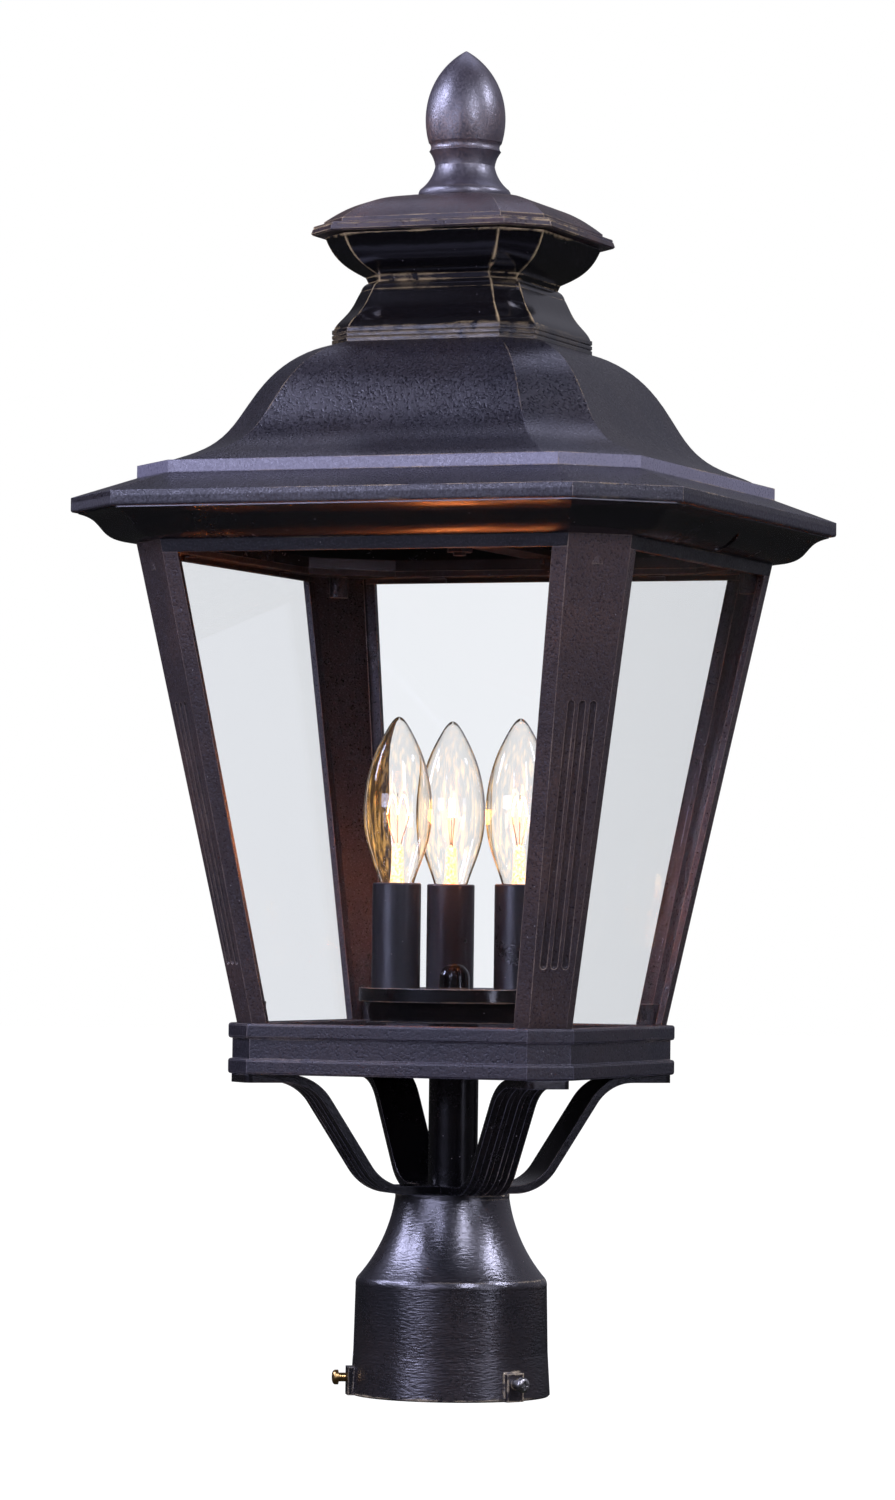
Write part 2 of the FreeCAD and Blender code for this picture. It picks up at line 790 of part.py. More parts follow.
def countersink(x, y, top, gap):
    return Part.makeCone(screw_radius + gap, screw_head_radius + gap, screw_head_height,
                         place(x, y, top - screw_head_height), UP)


def side_spots(reach):
    return [(reach, 0), (0, reach), (-reach, 0), (0, -reach)]


def make_glass_pane():
    """The front pane, between the posts' lips and behind the top rail."""
    wires = []
    for z in (z_sill, z_head - rail_flange - glass_top_gap):
        side, edge, z = inset(cage_level(z), post_wall)
        half = edge - glass_side_gap
        corners = [(-half, -side), (half, -side), (half, glass_thickness - side),
                   (-half, glass_thickness - side)]
        points = [place(x, y, z) for x, y in corners]
        wires.append(Part.makePolygon(points + points[:1]))
    return Part.makeLoft(wires, True, True)


def make_glass_clip():
    """Bent spring strip under the rail's flange that presses the front pane outwards."""
    high = z_head - rail_flange
    low = high - clip_drop

    def glass_face(z):
        return -(cage_level(z)[0] - post_wall - glass_thickness)

    half = clip_width / 2
    corners = [(glass_face(high), high), (glass_face(high) + clip_foot, high),
               (glass_face(high) + clip_foot, high - clip_thickness),
               (glass_face(high - clip_thickness) + clip_thickness, high - clip_thickness),
               (glass_face(low) + clip_thickness, low), (glass_face(low), low)]
    points = [place(-half, y, z) for y, z in corners]
    return Part.Face(Part.makePolygon(points + points[:1])).extrude(place(clip_width, 0, 0))


# ---------------------------------------------------------------- cornice, bridge bar and roof

cornice_screw_reach = rail_opening_side + cornice_screw_inset + collar_wall
cornice_start = inset((cage_head_side, cage_head_edge, z_head), -cove_ledge)
cornice_end = (cornice_rim_side, cornice_rim_edge, z_head + cove_height)


def make_cornice():
    """Cove moulding with an inner collar and an upstand that carries the roof."""
    cove = levels_along(cornice_start, cornice_end, cove_curve)
    rim_top = (cornice_rim_side, cornice_rim_edge, z_roof_seat)
    shell = joined([tower(cove, True), tower([cornice_end, rim_top])])
    hollow = [inset(level, cornice_wall, cornice_bottom) for level in cove]
    above = (hollow[-1][0], hollow[-1][1], z_roof_seat + 1)
    shell = shell.cut(tower(hollow, True)).cut(tower([hollow[-1], above]))
    opening_low = (rail_opening_side, rail_opening_edge, z_head)
    collar = tower([(rail_opening_side + collar_wall, rail_opening_edge + collar_wall, z_head),
                    (rail_opening_side + collar_wall, rail_opening_edge + collar_wall,
                     z_head + collar_height)])
    cornice = joined([shell, collar])
    cornice = cornice.cut(tower([opening_low, (rail_opening_side, rail_opening_edge, z_roof_seat)]))
    for turn in (0, 180):
        cornice = cornice.cut(around(side_slot(), turn))
    for x, y in side_spots(cornice_screw_reach):
        cornice = cornice.cut(screw_hole(x, y, z_head - 1, z_head + cornice_bottom + 1))
    for y in (-bar_screw_reach, bar_screw_reach):
        cornice = cornice.cut(screw_hole(0, y, z_bar - bar_screw_depth - screw_tip_gap, z_bar + 1))
    return cornice


def side_slot():
    """Round-ended slot through the middle of the +X face of the cove."""
    half = slot_length / 2 - slot_width / 2
    low = z_head - 1
    high = z_roof_seat - 1
    ends = [column(slot_width / 2, low, high, slot_centre_side + way * half) for way in (-1, 1)]
    middle = block((slot_centre_side - half, -slot_width / 2, low),
                   (slot_centre_side + half, slot_width / 2, high))
    return joined([middle] + ends)


z_bar = z_head + collar_height
bar_screw_reach = rail_opening_side + collar_wall / 2
bar_screw_depth = collar_height / 2


def make_bridge_bar():
    """Flat bar across the cornice's collar that carries the roof rod."""
    bar = block((-bar_width / 2, -bar_length / 2, z_bar),
                (bar_width / 2, bar_length / 2, z_bar + bar_thickness))
    bar = bar.cut(column(rod_radius + rod_fit_gap, z_bar - 1, z_bar + bar_thickness + 1))
    for y in (-bar_screw_reach, bar_screw_reach):
        bar = bar.cut(screw_hole(0, y, z_bar - 1, z_bar + bar_thickness + 1))
    return bar


dome_start = (dome_foot_side, dome_foot_edge, z_dome)
dome_end = (dome_head_side, dome_head_edge, z_neck)


def make_roof():
    """Thin cast roof: brim with a skirt, upper fascia and ogee dome, open underneath."""
    brim = (brim_side, brim_edge, z_brim)
    brim_top = (brim_side, brim_edge, z_brim + brim_height)
    crest = (crest_side, crest_edge, z_crest)
    crest_top = (crest_side, crest_edge, z_dome)
    dome = levels_along(dome_start, dome_end, dome_curve)
    roof = joined([tower([brim, brim_top, crest, crest_top]), tower(dome, True)])
    roof = rounded(roof, brim_easing, flat_edge_at(z_brim, brim_edge))
    skirt = (cornice_rim_side + skirt_gap, cornice_rim_edge + skirt_gap)
    seat_share = (brim_side - roof_seat_side) / brim_slope_width
    seat_edge = brim_edge - (brim_edge - crest_edge) * seat_share
    roof = roof.cut(tower([skirt + (z_brim - 1,), skirt + (z_roof_seat,)]))
    roof = roof.cut(tower([(roof_seat_side, seat_edge, z_roof_seat - 1),
                           (roof_seat_side, seat_edge, z_roof_seat),
                           inset(crest, roof_wall, -roof_wall),
                           inset(crest_top, roof_wall, -roof_wall)]))
    hollow = [inset(level, roof_wall, -roof_wall) for level in dome]
    roof = roof.cut(tower(hollow, True))
    roof = roof.cut(column(rod_radius + rod_hole_gap, z_neck - roof_wall - 1, z_neck + 1))
    for x, y in diagonal_spots(vent_circle_radius):
        roof = roof.cut(column(vent_radius, z_neck - roof_wall - 1, z_neck + 1, x, y))
    return roof


# ---------------------------------------------------------------- crown and finial

def rod_hole(low, high):
    return column(rod_radius + rod_hole_gap, low - 1, high + 1)


def make_crown_neck():
    """Plinth with fine ridges, then a concave flare that curls in to the waist."""
    line = neck_groove_half_width
    plinth = (neck_side, neck_edge)
    groove = inset((neck_side, neck_edge, 0), neck_ridge_groove)[:2]
    levels = [plinth + (z_neck,)]
    for number in range(1, neck_ridge_count):
        middle = z_neck + neck_plinth_height * number / neck_ridge_count
        levels += [plinth + (middle - line,), groove + (middle,), plinth + (middle + line,)]
    ridges = tower(levels + [plinth + (z_flare,)])
    flare = levels_along(groove + (z_flare,), (neck_flare_side, neck_flare_edge, z_curl), flare_curve)
    curl = levels_along((neck_flare_side, neck_flare_edge, z_curl),
                        (neck_waist_side, neck_waist_edge, z_bowl), curl_curve)
    neck = joined([ridges, tower(flare, True), tower(curl, True)])
    top = (neck_waist_side, neck_waist_edge, z_bowl)
    hollow = [inset(level, crown_wall) for level in flare]
    neck = neck.cut(tower([inset((neck_side, neck_edge, z_neck - 1), crown_wall * 2), hollow[0]]))
    neck = neck.cut(tower(hollow, True))
    neck = neck.cut(tower([inset(top, crown_wall, z_curl - z_bowl - 1),
                           inset(top, crown_wall, -crown_wall)]))
    return neck.cut(rod_hole(z_neck, z_bowl))


def make_crown_bowl():
    """Flared bowl on the neck, open above, with four small feet that hold the lid up."""
    lip = tower([(neck_waist_side, neck_waist_edge, z_bowl),
                 (bowl_lip_side, bowl_lip_edge, z_bowl_flare)])
    rim = (bowl_side, bowl_edge, z_bowl_rim)
    flare = levels_along((bowl_lip_side, bowl_lip_edge, z_bowl_flare), rim, bowl_curve)
    bowl = joined([lip, tower(flare, True)])
    hollow = [inset(level, crown_wall) for level in flare]
    above = inset(rim, crown_wall, 1.0)
    bowl = bowl.cut(tower(hollow, True)).cut(tower([hollow[-1], above]))
    foot = block((bowl_side - crown_wall, -bowl_foot_width / 2, z_bowl_rim - 1),
                 (bowl_side - bowl_foot_setback, bowl_foot_width / 2, z_lid))
    bowl = joined([bowl] + ring_of(foot, 4))
    return bowl.cut(rod_hole(z_bowl, z_bowl_rim))


def make_crown_lid():
    """Overhanging lid: sloped fascia, a small step and a low dome, hollow underneath."""
    low = inset((lid_side, lid_edge, z_lid), lid_rim_easing)
    widest = (lid_side, lid_edge, z_lid + lid_rim_easing)
    fascia_rise = lid_fascia_height - lid_rim_easing

    def on_fascia(rise, depth=0.0):
        return inset(widest, lid_fascia_lean * rise / fascia_rise + depth, rise)

    groove = fascia_rise * lid_groove_share
    fascia = tower([low, widest, on_fascia(groove - lid_groove_half_width),
                    on_fascia(groove, lid_groove_depth), on_fascia(groove + lid_groove_half_width),
                    on_fascia(fascia_rise)])
    step = (lid_step_side, lid_step_edge)
    dome = levels_along(step + (z_lid_dome,), (lid_head_side, lid_head_edge, z_finial), lid_curve)
    lid = joined([fascia, tower([step + (z_lid_step,), step + (z_lid_dome,)]),
                  tower(dome, True)])
    flange = (lid_flange_side, lid_flange_edge)
    hollow = [inset(level, crown_wall, -crown_wall) for level in dome]
    lid = lid.cut(tower([flange + (z_lid - 1,), flange + (hollow[0][2] + 0.5,)]))
    lid = lid.cut(tower(hollow, True))
    return lid.cut(rod_hole(z_lid, z_finial))


def make_finial():
    """Turned finial with a blind hole for the rod."""
    base_top = z_finial + finial_base_height
    waist = (finial_waist_radius, base_top + finial_waist_height)
    bead = (finial_bead_radius, waist[1] + finial_bead_height)
    groove = (finial_bead_radius - finial_groove_depth, bead[1] + finial_groove_height)
    body = (finial_bead_radius + finial_body_step, groove[1] + finial_body_height)
    widest = (finial_bead_radius + finial_swell, body[1] + finial_swell_height)
    shoulder = (finial_bead_radius, widest[1] + finial_shoulder_height)
    tip = (0, shoulder[1] + finial_nose_height)
    nose = (finial_bead_radius * 0.627, shoulder[1] + finial_nose_height * 0.565)
    throat = (finial_waist_radius * 1.16, z_finial + (waist[1] - z_finial) * 0.62)
    swell = (finial_waist_radius * 1.06, (waist[1] + bead[1]) / 2)
    base_middle = (finial_base_radius, z_finial + finial_base_height / 2)
    hollow_radius = rod_radius + rod_fit_gap
    return turned((hollow_radius, z_finial), (finial_base_radius - finial_base_easing, z_finial),
                  (base_middle, (finial_base_radius - finial_base_easing * 1.5, base_top)),
                  (throat, waist), (swell, bead), (groove, body), (widest, shoulder), (nose, tip),
                  (0, z_finial + finial_hole_depth), (hollow_radius, z_finial + finial_hole_depth))


rod_low = z_bar - rod_nut_height - rod_past_nut
rod_high = z_finial + finial_hole_depth - rod_end_gap
rod_nut_half_flats = rod_radius + rod_nut_wall


def make_rod_nuts():
    bore = rod_radius + rod_fit_gap
    top = z_bar + bar_thickness
    return [nut(rod_nut_half_flats, bore, z_bar - rod_nut_height, z_bar),
            nut(rod_nut_half_flats, bore, top, top + rod_nut_height)]


# ---------------------------------------------------------------- candle cluster

def make_candle_pan():
    """Round pan with a sloped underside and an upright rim."""
    bottom = (pan_bottom_radius, z_pan)
    floor = z_pan + pan_wall
    inner = pan_radius - pan_wall
    hole = nipple_radius + stem_fit_gap
    return turned((hole, z_pan), bottom, (pan_radius, z_pan_rim), (pan_radius, z_pan_top),
                  (inner, z_pan_top), (inner, z_pan_rim + pan_wall * 0.6),
                  (pan_bottom_radius - pan_wall * 0.4, floor), (hole, floor))


def make_pan_cover():
    """Flat disc set in the pan's rim, with a turned-down edge that stands on the slope."""
    outer = pan_radius - pan_wall - pan_cover_gap
    low = z_pan_rim + pan_wall * 0.6 + pan_cover_gap
    under = z_pan_top - pan_cover_thickness
    hole = nipple_radius + stem_fit_gap
    return turned((hole, under), (outer - pan_cover_edge, under), (outer - pan_cover_edge, low),
                  (outer, low), (outer, z_pan_top), (hole, z_pan_top))


def make_stem_cap():
    """Reducer in the pipe's top end that the cluster nipple screws into."""
    plug = stem_radius - stem_wall - stem_fit_gap
    low = stem_high - stem_cap_height
    bore = nipple_radius + stem_fit_gap
    return turned((bore, low), (plug, low), (plug, stem_high), (stem_radius, stem_high),
                  (stem_radius, z_pan), (bore, z_pan))


def make_cluster_nipple():
    bore = nipple_radius - nipple_wall
    return tube(nipple_radius, bore, stem_high - nipple_in_cap, z_pan_top + nipple_above_pan)


def make_cap_nut():
    """Smooth domed nut that clamps the pan."""
    bore = nipple_radius + stem_fit_gap
    low = z_pan_top
    top = low + cap_nut_height
    side_top = low + cap_nut_height * 0.44
    hole_top = low + nipple_above_pan + cap_nut_end_gap
    diagonal = 1 / math.sqrt(2)
    return turned((bore, low), (cap_nut_radius, low), (cap_nut_radius, side_top),
                  ((cap_nut_radius * diagonal, side_top + (top - side_top) * diagonal), (0, top)),
                  (0, hole_top), (bore, hole_top))


def make_candle_sleeve():
    """Plain candle cover on the axis, moved to its place later."""
    inner = sleeve_radius - sleeve_wall
    return turned((inner, z_pan_top), (sleeve_radius, z_pan_top),
                  (sleeve_radius, z_sleeve_top - sleeve_easing),
                  (sleeve_radius - sleeve_easing, z_sleeve_top), (inner, z_sleeve_top))


def make_lamp_holder():
    """Candelabra lamp holder on its stem, with a collar that centres the sleeve."""
    collar = sleeve_radius - sleeve_wall - holder_gap
    collar_low = z_holder_top - holder_collar_height
    seat = z_bulb - bulb_base_length - holder_seat_gap
    return turned((0, z_pan_top), (holder_stem_radius, z_pan_top), (holder_stem_radius, z_holder),
                  (holder_body_radius, z_holder), (holder_body_radius, collar_low),
                  (collar, collar_low), (collar, z_holder_top), (holder_bore, z_holder_top),
                  (holder_bore, seat), (0, seat))


def make_bulb_base():
    """Screw base of a candle bulb, with its centre contact."""
    low = z_bulb - bulb_base_length
    radius = bulb_base_radius
    cone = radius - bulb_contact_radius
    return turned((0, low), (bulb_contact_radius, low), (bulb_contact_radius + cone / 3, low + cone / 2),
                  (radius, low + cone), (radius, z_bulb), (0, z_bulb))


def make_bulb_glass():
    """Thin torpedo bulb that swells above its neck and tapers to a rounded tip."""
    wall = bulb_glass_wall
    neck = (bulb_neck_radius, z_bulb + bulb_neck_height)
    wide = (bulb_radius, neck[1] + bulb_swell_height)
    shoulder = (bulb_tip_radius, wide[1] + bulb_taper_height - bulb_tip_height)
    tip = (0, wide[1] + bulb_taper_height)
    swell = (neck[0] + (wide[0] - neck[0]) * swell_middle[0], neck[1] + bulb_swell_height * swell_middle[1])
    taper = (wide[0] * taper_middle[0], wide[1] + bulb_taper_height * taper_middle[1])
    nose = (bulb_tip_radius * 0.7, tip[1] - bulb_tip_height * 0.25)
    inner_taper = ((taper[0] - wall, taper[1]), (wide[0] - wall, wide[1]))
    inner_swell = ((swell[0] - wall, swell[1]), (neck[0] - wall, neck[1]))
    return turned((neck[0] - wall, z_bulb), (neck[0], z_bulb), neck, (swell, wide), (taper, shoulder),
                  (nose, tip), (0, tip[1] - wall * 4), inner_taper, inner_swell)


def make_filament():
    """Glass stem, two lead wires and the arched filament between them."""
    stem_top = z_bulb + bulb_stem_height
    stem = turned((0, z_bulb), (bulb_stem_radius + bulb_stem_flare, z_bulb),
                  (bulb_stem_radius, z_bulb + bulb_neck_height), (bulb_stem_radius * 0.6, stem_top),
                  (0, stem_top))
    foot = stem_top - bulb_stem_radius
    top = z_bulb + filament_rise
    pieces = [stem]
    for way in (-1, 1):
        start = place(way * bulb_stem_radius / 4, 0, foot)
        end = place(way * filament_half_span, 0, top)
        lean = end - start
        pieces.append(Part.makeCylinder(lead_radius, lean.Length, start, lean))
        pieces.append(Part.makeSphere(filament_radius * 1.2, end))
    arch = Part.Arc(place(-filament_half_span, 0, top), place(0, 0, top + filament_half_span * 1.1),
                    place(filament_half_span, 0, top)).toShape()
    ring = Part.Circle(place(-filament_half_span, 0, top), arch.tangentAt(arch.FirstParameter),
                       filament_radius).toShape()
    pieces.append(Part.Wire([arch]).makePipeShell([Part.Wire([ring])], True, False))
    return joined(pieces)


# ---------------------------------------------------------------- screw groups

def arm_foot_screws():
    """From inside the fitter, up through its top plate into the arms' feet."""
    tip = fitter_height + arm_thickness - screw_tip_gap
    return [pan_head_screw(x, y, z_plate, tip, -1) for x, y in diagonal_spots(arm_foot_screw_circle)]


def arm_pad_screws():
    """From inside the base pan, down through its floor into the arms' pads."""
    seat = z_base + base_floor
    tip = z_base - arm_thickness + screw_tip_gap
    return [pan_head_screw(x, y, seat, tip, 1) for x, y in diagonal_spots(arm_pad_screw_circle)]


def post_foot_screws():
    """From inside the base pan, up through its flange into the posts' feet."""
    seat = z_sill - base_flange_thickness
    tip = z_sill + post_screw_depth
    spots = diagonal_spots(post_boss_distance(z_sill, post_wall))
    return [pan_head_screw(x, y, seat, tip, -1) for x, y in spots]


def rail_screws():
    """Countersunk, down through the rail's flange into the posts' heads."""
    under_flange = z_head - rail_flange
    screws = []
    for x, y in diagonal_spots(post_boss_distance(under_flange, post_wall)):
        shank = column(screw_radius, under_flange - post_screw_depth, z_head, x, y)
        screws.append(shank.fuse(countersink(x, y, z_head, 0.0)).removeSplitter())
    return screws


def cornice_screws():
    """From inside the cornice, down through its floor into the rail's flange."""
    seat = z_head + cornice_bottom
    tip = z_head - rail_flange
    return [pan_head_screw(x, y, seat, tip, 1) for x, y in side_spots(cornice_screw_reach)]


def bar_screws():
    """Down through the bridge bar's ends into the cornice's collar."""
    seat = z_bar + bar_thickness
    spots = (-bar_screw_reach, bar_screw_reach)
    return [pan_head_screw(0, y, seat, z_bar - bar_screw_depth, 1) for y in spots]


# ---------------------------------------------------------------- build and write

def build():
    nodes = {"fitter": make_fitter()}
    screw = make_set_screw()
    for index, copy in enumerate(ring_of(screw, set_screw_count, set_screw_first_angle)):
        nodes["set_screw_%d" % (index + 1)] = copy
    nodes["stem_pipe"] = make_stem()
    nodes["fitter_lock_nut"] = lock_nut(z_plate - lock_nut_height)
    nodes["base_lock_nut"] = lock_nut(z_base + base_floor)
    for index, copy in enumerate(ring_of(make_arm(), arm_count, 45.0)):
        nodes["scroll_arm_%d" % (index + 1)] = copy
    nodes["arm_foot_screws"] = Part.makeCompound(arm_foot_screws())
    nodes["arm_pad_screws"] = Part.makeCompound(arm_pad_screws())
    nodes["base_pan"] = make_base_pan()
    posts = ring_of(make_corner_post(), 4)
    for index, copy in enumerate(posts):
        nodes["corner_post_%d" % (index + 1)] = copy
    nodes["post_foot_screws"] = Part.makeCompound(post_foot_screws())
    nodes["top_rail"] = make_top_rail(posts)
    nodes["rail_screws"] = Part.makeCompound(rail_screws())
    for index, copy in enumerate(ring_of(make_glass_pane(), 4)):
        nodes["glass_pane_%d" % (index + 1)] = copy
    clips = []
    for way in (-1, 1):
        clip = make_glass_clip()
        clip.translate(place(way * clip_from_middle, 0, 0))
        clips += ring_of(clip, 4)
    nodes["glass_clips"] = Part.makeCompound(clips)
    nodes["cornice"] = make_cornice()
    nodes["cornice_screws"] = Part.makeCompound(cornice_screws())
    nodes["bridge_bar"] = make_bridge_bar()
    nodes["bar_screws"] = Part.makeCompound(bar_screws())
    nodes["roof_rod"] = column(rod_radius, rod_low, rod_high)
    nodes["rod_nuts"] = Part.makeCompound(make_rod_nuts())
    nodes["roof"] = make_roof()
    nodes["crown_neck"] = make_crown_neck()
    nodes["crown_bowl"] = make_crown_bowl()
    nodes["crown_lid"] = make_crown_lid()
    nodes["finial"] = make_finial()
    nodes["candle_pan"] = make_candle_pan()
    nodes["pan_cover"] = make_pan_cover()
    nodes["stem_cap"] = make_stem_cap()
    nodes["cluster_nipple"] = make_cluster_nipple()
    nodes["cap_nut"] = make_cap_nut()
    candles = {"candle_sleeve": make_candle_sleeve(), "lamp_holder": make_lamp_holder(),
               "bulb_base": make_bulb_base(), "bulb_glass": make_bulb_glass(),
               "bulb_filament": make_filament()}
    for name, shape in candles.items():
        shape.translate(place(candle_circle_radius, 0, 0))
        for index, copy in enumerate(ring_of(shape, candle_count, candle_first_angle)):
            nodes["%s_%d" % (name, index + 1)] = copy
    return nodes


for node_name, node_shape in build().items():
    save(node_name, node_shape)
    solids = node_shape.Solids
    good = all(solid.isValid() for solid in solids)
    volume = sum(solid.Volume for solid in solids)
    print("%-20s solids %2d valid %s volume %.0f" % (node_name, len(solids), good, volume))
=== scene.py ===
import math

import bmesh
import bpy
from mathutils import Matrix, Vector


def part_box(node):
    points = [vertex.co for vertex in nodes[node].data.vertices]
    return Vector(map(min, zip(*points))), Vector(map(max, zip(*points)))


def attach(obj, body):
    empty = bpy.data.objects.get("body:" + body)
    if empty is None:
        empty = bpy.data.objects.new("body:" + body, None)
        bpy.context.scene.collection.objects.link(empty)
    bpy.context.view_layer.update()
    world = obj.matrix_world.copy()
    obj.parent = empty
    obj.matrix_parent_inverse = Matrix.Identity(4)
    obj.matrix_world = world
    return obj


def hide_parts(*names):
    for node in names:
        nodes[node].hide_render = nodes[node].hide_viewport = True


# Looks of a post top lantern. Lengths are in metres, +Z is up and the lantern's front is -Y.

MM = 0.001
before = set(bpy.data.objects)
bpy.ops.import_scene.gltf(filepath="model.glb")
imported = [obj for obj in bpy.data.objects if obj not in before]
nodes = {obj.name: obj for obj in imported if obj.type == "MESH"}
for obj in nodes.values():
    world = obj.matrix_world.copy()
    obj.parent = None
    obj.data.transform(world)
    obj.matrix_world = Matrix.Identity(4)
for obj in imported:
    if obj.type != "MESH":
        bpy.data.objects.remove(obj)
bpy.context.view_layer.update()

bulb_centres = [(0.0322, -0.0026), (-0.0139, 0.0292), (-0.0183, -0.0266)]
bulb_foot = 0.2270
bulb_tip = 0.3107
bulb_wall = 0.6
filament_height = 0.2655
filament_half_width = 5.6
filament_rise = 9.0
filament_turns = 36
coil_radius = 0.00055
coil_wire = 0.00020
lead_wire = 0.00022

filament_colour = (1.0, 0.22, 0.045)

# the candle pan is deeper than its CAD solid: a leaning skirt under a rim that steps out over it
pan_low_corner, pan_high_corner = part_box("candle_pan")
pan_cone_foot = pan_low_corner[2]
pan_top = pan_high_corner[2]
pan_radius = pan_high_corner[0]
pan_bolt_hole = 0.0050
pan_well = 0.0118
pan_wall = 0.0018
pan_rim_step = 0.0025
pan_rim_height = 0.0062
pan_skirt_lean = 0.0023
pan_skirt_height = 0.0096
pan_easing = 0.0016

# heights of the bands that are finished in their own way
crest_band = (0.4166, 0.4223)
brim_edge_band = (0.3985, 0.4042)
crown_band = (0.4885, 0.60)
finial_foot_band = (0.570, 0.590, 0.006)
brim_edge_roughness = 0.62
# the crest band's paler violet is a painted reflection of the lamps, pale from every side
crest_painted_sheen = (0.175, 0.168, 0.230)
# how far the painted shade in grooves reaches
groove_shade_reach = 0.004

# camera: turn from the front towards +X, then its own heading, pitch and roll, all in degrees
camera_turn = 21.53
camera_heading = 21.637
camera_pitch = 1.854
camera_roll = 0.71
camera_distance = 2.5509
camera_height = 0.2136
camera_lens = 132.85

cool_light = (0.74, 0.75, 1.0)
pale_light = (0.84, 0.84, 1.0)
lamp_aim = (0.0, 0.0, 0.33)

# name, turn from the front, height angle, distance, width, height, power, colour and aim
softboxes = [
    ("left_softbox", -52.0, 37.0, 1.7, 0.45, 0.65, 18.0, cool_light, lamp_aim),
    ("left_side_strip", -76.0, 24.0, 1.7, 0.25, 0.60, 9.0, cool_light, lamp_aim),
    ("centre_strip", -2.0, 21.0, 1.7, 0.07, 0.4, 3.0, cool_light, lamp_aim),
    ("right_softbox", 45.0, 27.0, 1.7, 0.28, 0.70, 11.0, pale_light, lamp_aim),
    ("right_strip", 99.0, 38.0, 1.7, 0.25, 0.50, 12.0, pale_light, lamp_aim),
    ("front_low_card", -22.0, 6.0, 1.7, 0.9, 0.3, 6.0, cool_light, lamp_aim),
    ("right_low_card", 68.0, 5.0, 1.6, 0.4, 0.3, 1.2, pale_light, lamp_aim),
    ("top_softbox", 190.0, 68.0, 1.6, 1.2, 1.0, 5.0, cool_light, (0.0, 0.0, 0.45)),
    ("low_card", 68.0, -14.0, 1.3, 0.16, 0.12, 0.3, pale_light, (0.0, 0.0, 0.52)),
]


def into_scene(name, data):
    """New object with this data, linked to the scene."""
    thing = bpy.data.objects.new(name, data)
    bpy.context.scene.collection.objects.link(thing)
    return thing


# ---------------------------------------------------------------- camera, lamps and studio

def add_camera():
    turn, heading, pitch, roll = (math.radians(angle) for angle in
                                  (camera_turn, camera_heading, camera_pitch, camera_roll))
    place = Vector((math.sin(turn) * camera_distance, -math.cos(turn) * camera_distance, camera_height))
    ahead = Vector((-math.sin(heading) * math.cos(pitch), math.cos(heading) * math.cos(pitch),
                    math.sin(pitch)))
    level = Vector((math.cos(heading), math.sin(heading), 0.0))
    upright = level.cross(ahead)
    right = level * math.cos(roll) + upright * math.sin(roll)
    up = upright * math.cos(roll) - level * math.sin(roll)
    lens = bpy.data.cameras.new("studio_camera")
    lens.lens = camera_lens
    lens.sensor_width = 36.0
    lens.clip_start = 0.05
    camera = into_scene("studio_camera", lens)
    camera.matrix_world = Matrix((
        (right.x, up.x, -ahead.x, place.x),
        (right.y, up.y, -ahead.y, place.y),
        (right.z, up.z, -ahead.z, place.z),
        (0.0, 0.0, 0.0, 1.0)))
    bpy.context.scene.camera = camera


def panel_lamp(name, place, aim, width, height, power, colour):
    """Rectangular lamp at a place, turned towards its aim."""
    lamp = bpy.data.lights.new(name, "AREA")
    lamp.shape = "RECTANGLE"
    lamp.size = width
    lamp.size_y = height
    lamp.energy = power
    lamp.color = colour
    holder = into_scene(name, lamp)
    holder.location = place
    holder.rotation_euler = (Vector(aim) - place).to_track_quat("-Z", "Y").to_euler()
    return holder


def hide_from_view(lamp):
    """The lamp lights and shines in paint, and is not seen itself as a disc inside a bulb."""
    lamp.visible_camera = False
    lamp.visible_transmission = False


def add_lamps():
    for name, around, above, distance, width, height, power, colour, aim in softboxes:
        turn = math.radians(around)
        lift = math.radians(above)
        place = Vector(aim) + distance * Vector((math.sin(turn) * math.cos(lift),
                                                 -math.cos(turn) * math.cos(lift), math.sin(lift)))
        panel_lamp(name, place, aim, width, height, power, colour)
    for number, (x, y) in enumerate(bulb_centres, 1):
        glow = bpy.data.lights.new("filament_light_%d" % number, "POINT")
        glow.energy = 0.12
        glow.color = filament_colour
        glow.shadow_soft_size = 0.005
        holder = into_scene(glow.name, glow)
        holder.location = (x, y, filament_height)
        hide_from_view(holder)
    hide_from_view(panel_lamp("bulb_shine_on_cove", Vector((0.002, 0.0, filament_height)),
                              (0.0, -0.125, 0.39), 0.085, 0.010, 0.16, filament_colour))


def seen_directly(tree, path):
    """1 for a ray from the camera or through clear glass, and 0 once it has been mirrored."""
    unmirrored = math_node(tree, "LESS_THAN", path.outputs["Glossy Depth"], 0.5)
    through = math_node(tree, "MULTIPLY", path.outputs["Is Transmission Ray"], unmirrored)
    return math_node(tree, "MAXIMUM", path.outputs["Is Camera Ray"], through)


def add_world():
    """White to the eye; in reflections a soft violet-grey room, brighter behind and to the right."""
    world = bpy.data.worlds.new("white_studio")
    world.use_nodes = True
    bpy.context.scene.world = world
    tree = world.node_tree
    tree.nodes.clear()
    out = tree.nodes.new("ShaderNodeOutputWorld")
    sky = tree.nodes.new("ShaderNodeBackground")
    path = tree.nodes.new("ShaderNodeLightPath")
    where = tree.nodes.new("ShaderNodeTexCoord")
    facing = tree.nodes.new("ShaderNodeVectorMath")
    facing.operation = "DOT_PRODUCT"
    facing.inputs[1].default_value = (0.30, 0.94, 0.15)
    tree.links.new(where.outputs["Generated"], facing.inputs[0])
    mirrored = map_value(tree, facing.outputs["Value"], 0.4, 0.98, 0.04, 0.26)
    level = mix_value(tree, path.outputs["Is Glossy Ray"], 0.18, mirrored)
    seen = seen_directly(tree, path)
    tree.links.new(mix_colour(tree, seen, (0.86, 0.85, 1.0), (1.0, 1.0, 1.0)), sky.inputs["Color"])
    tree.links.new(mix_value(tree, seen, level, 1.0), sky.inputs["Strength"])
    tree.links.new(sky.outputs[0], out.inputs["Surface"])


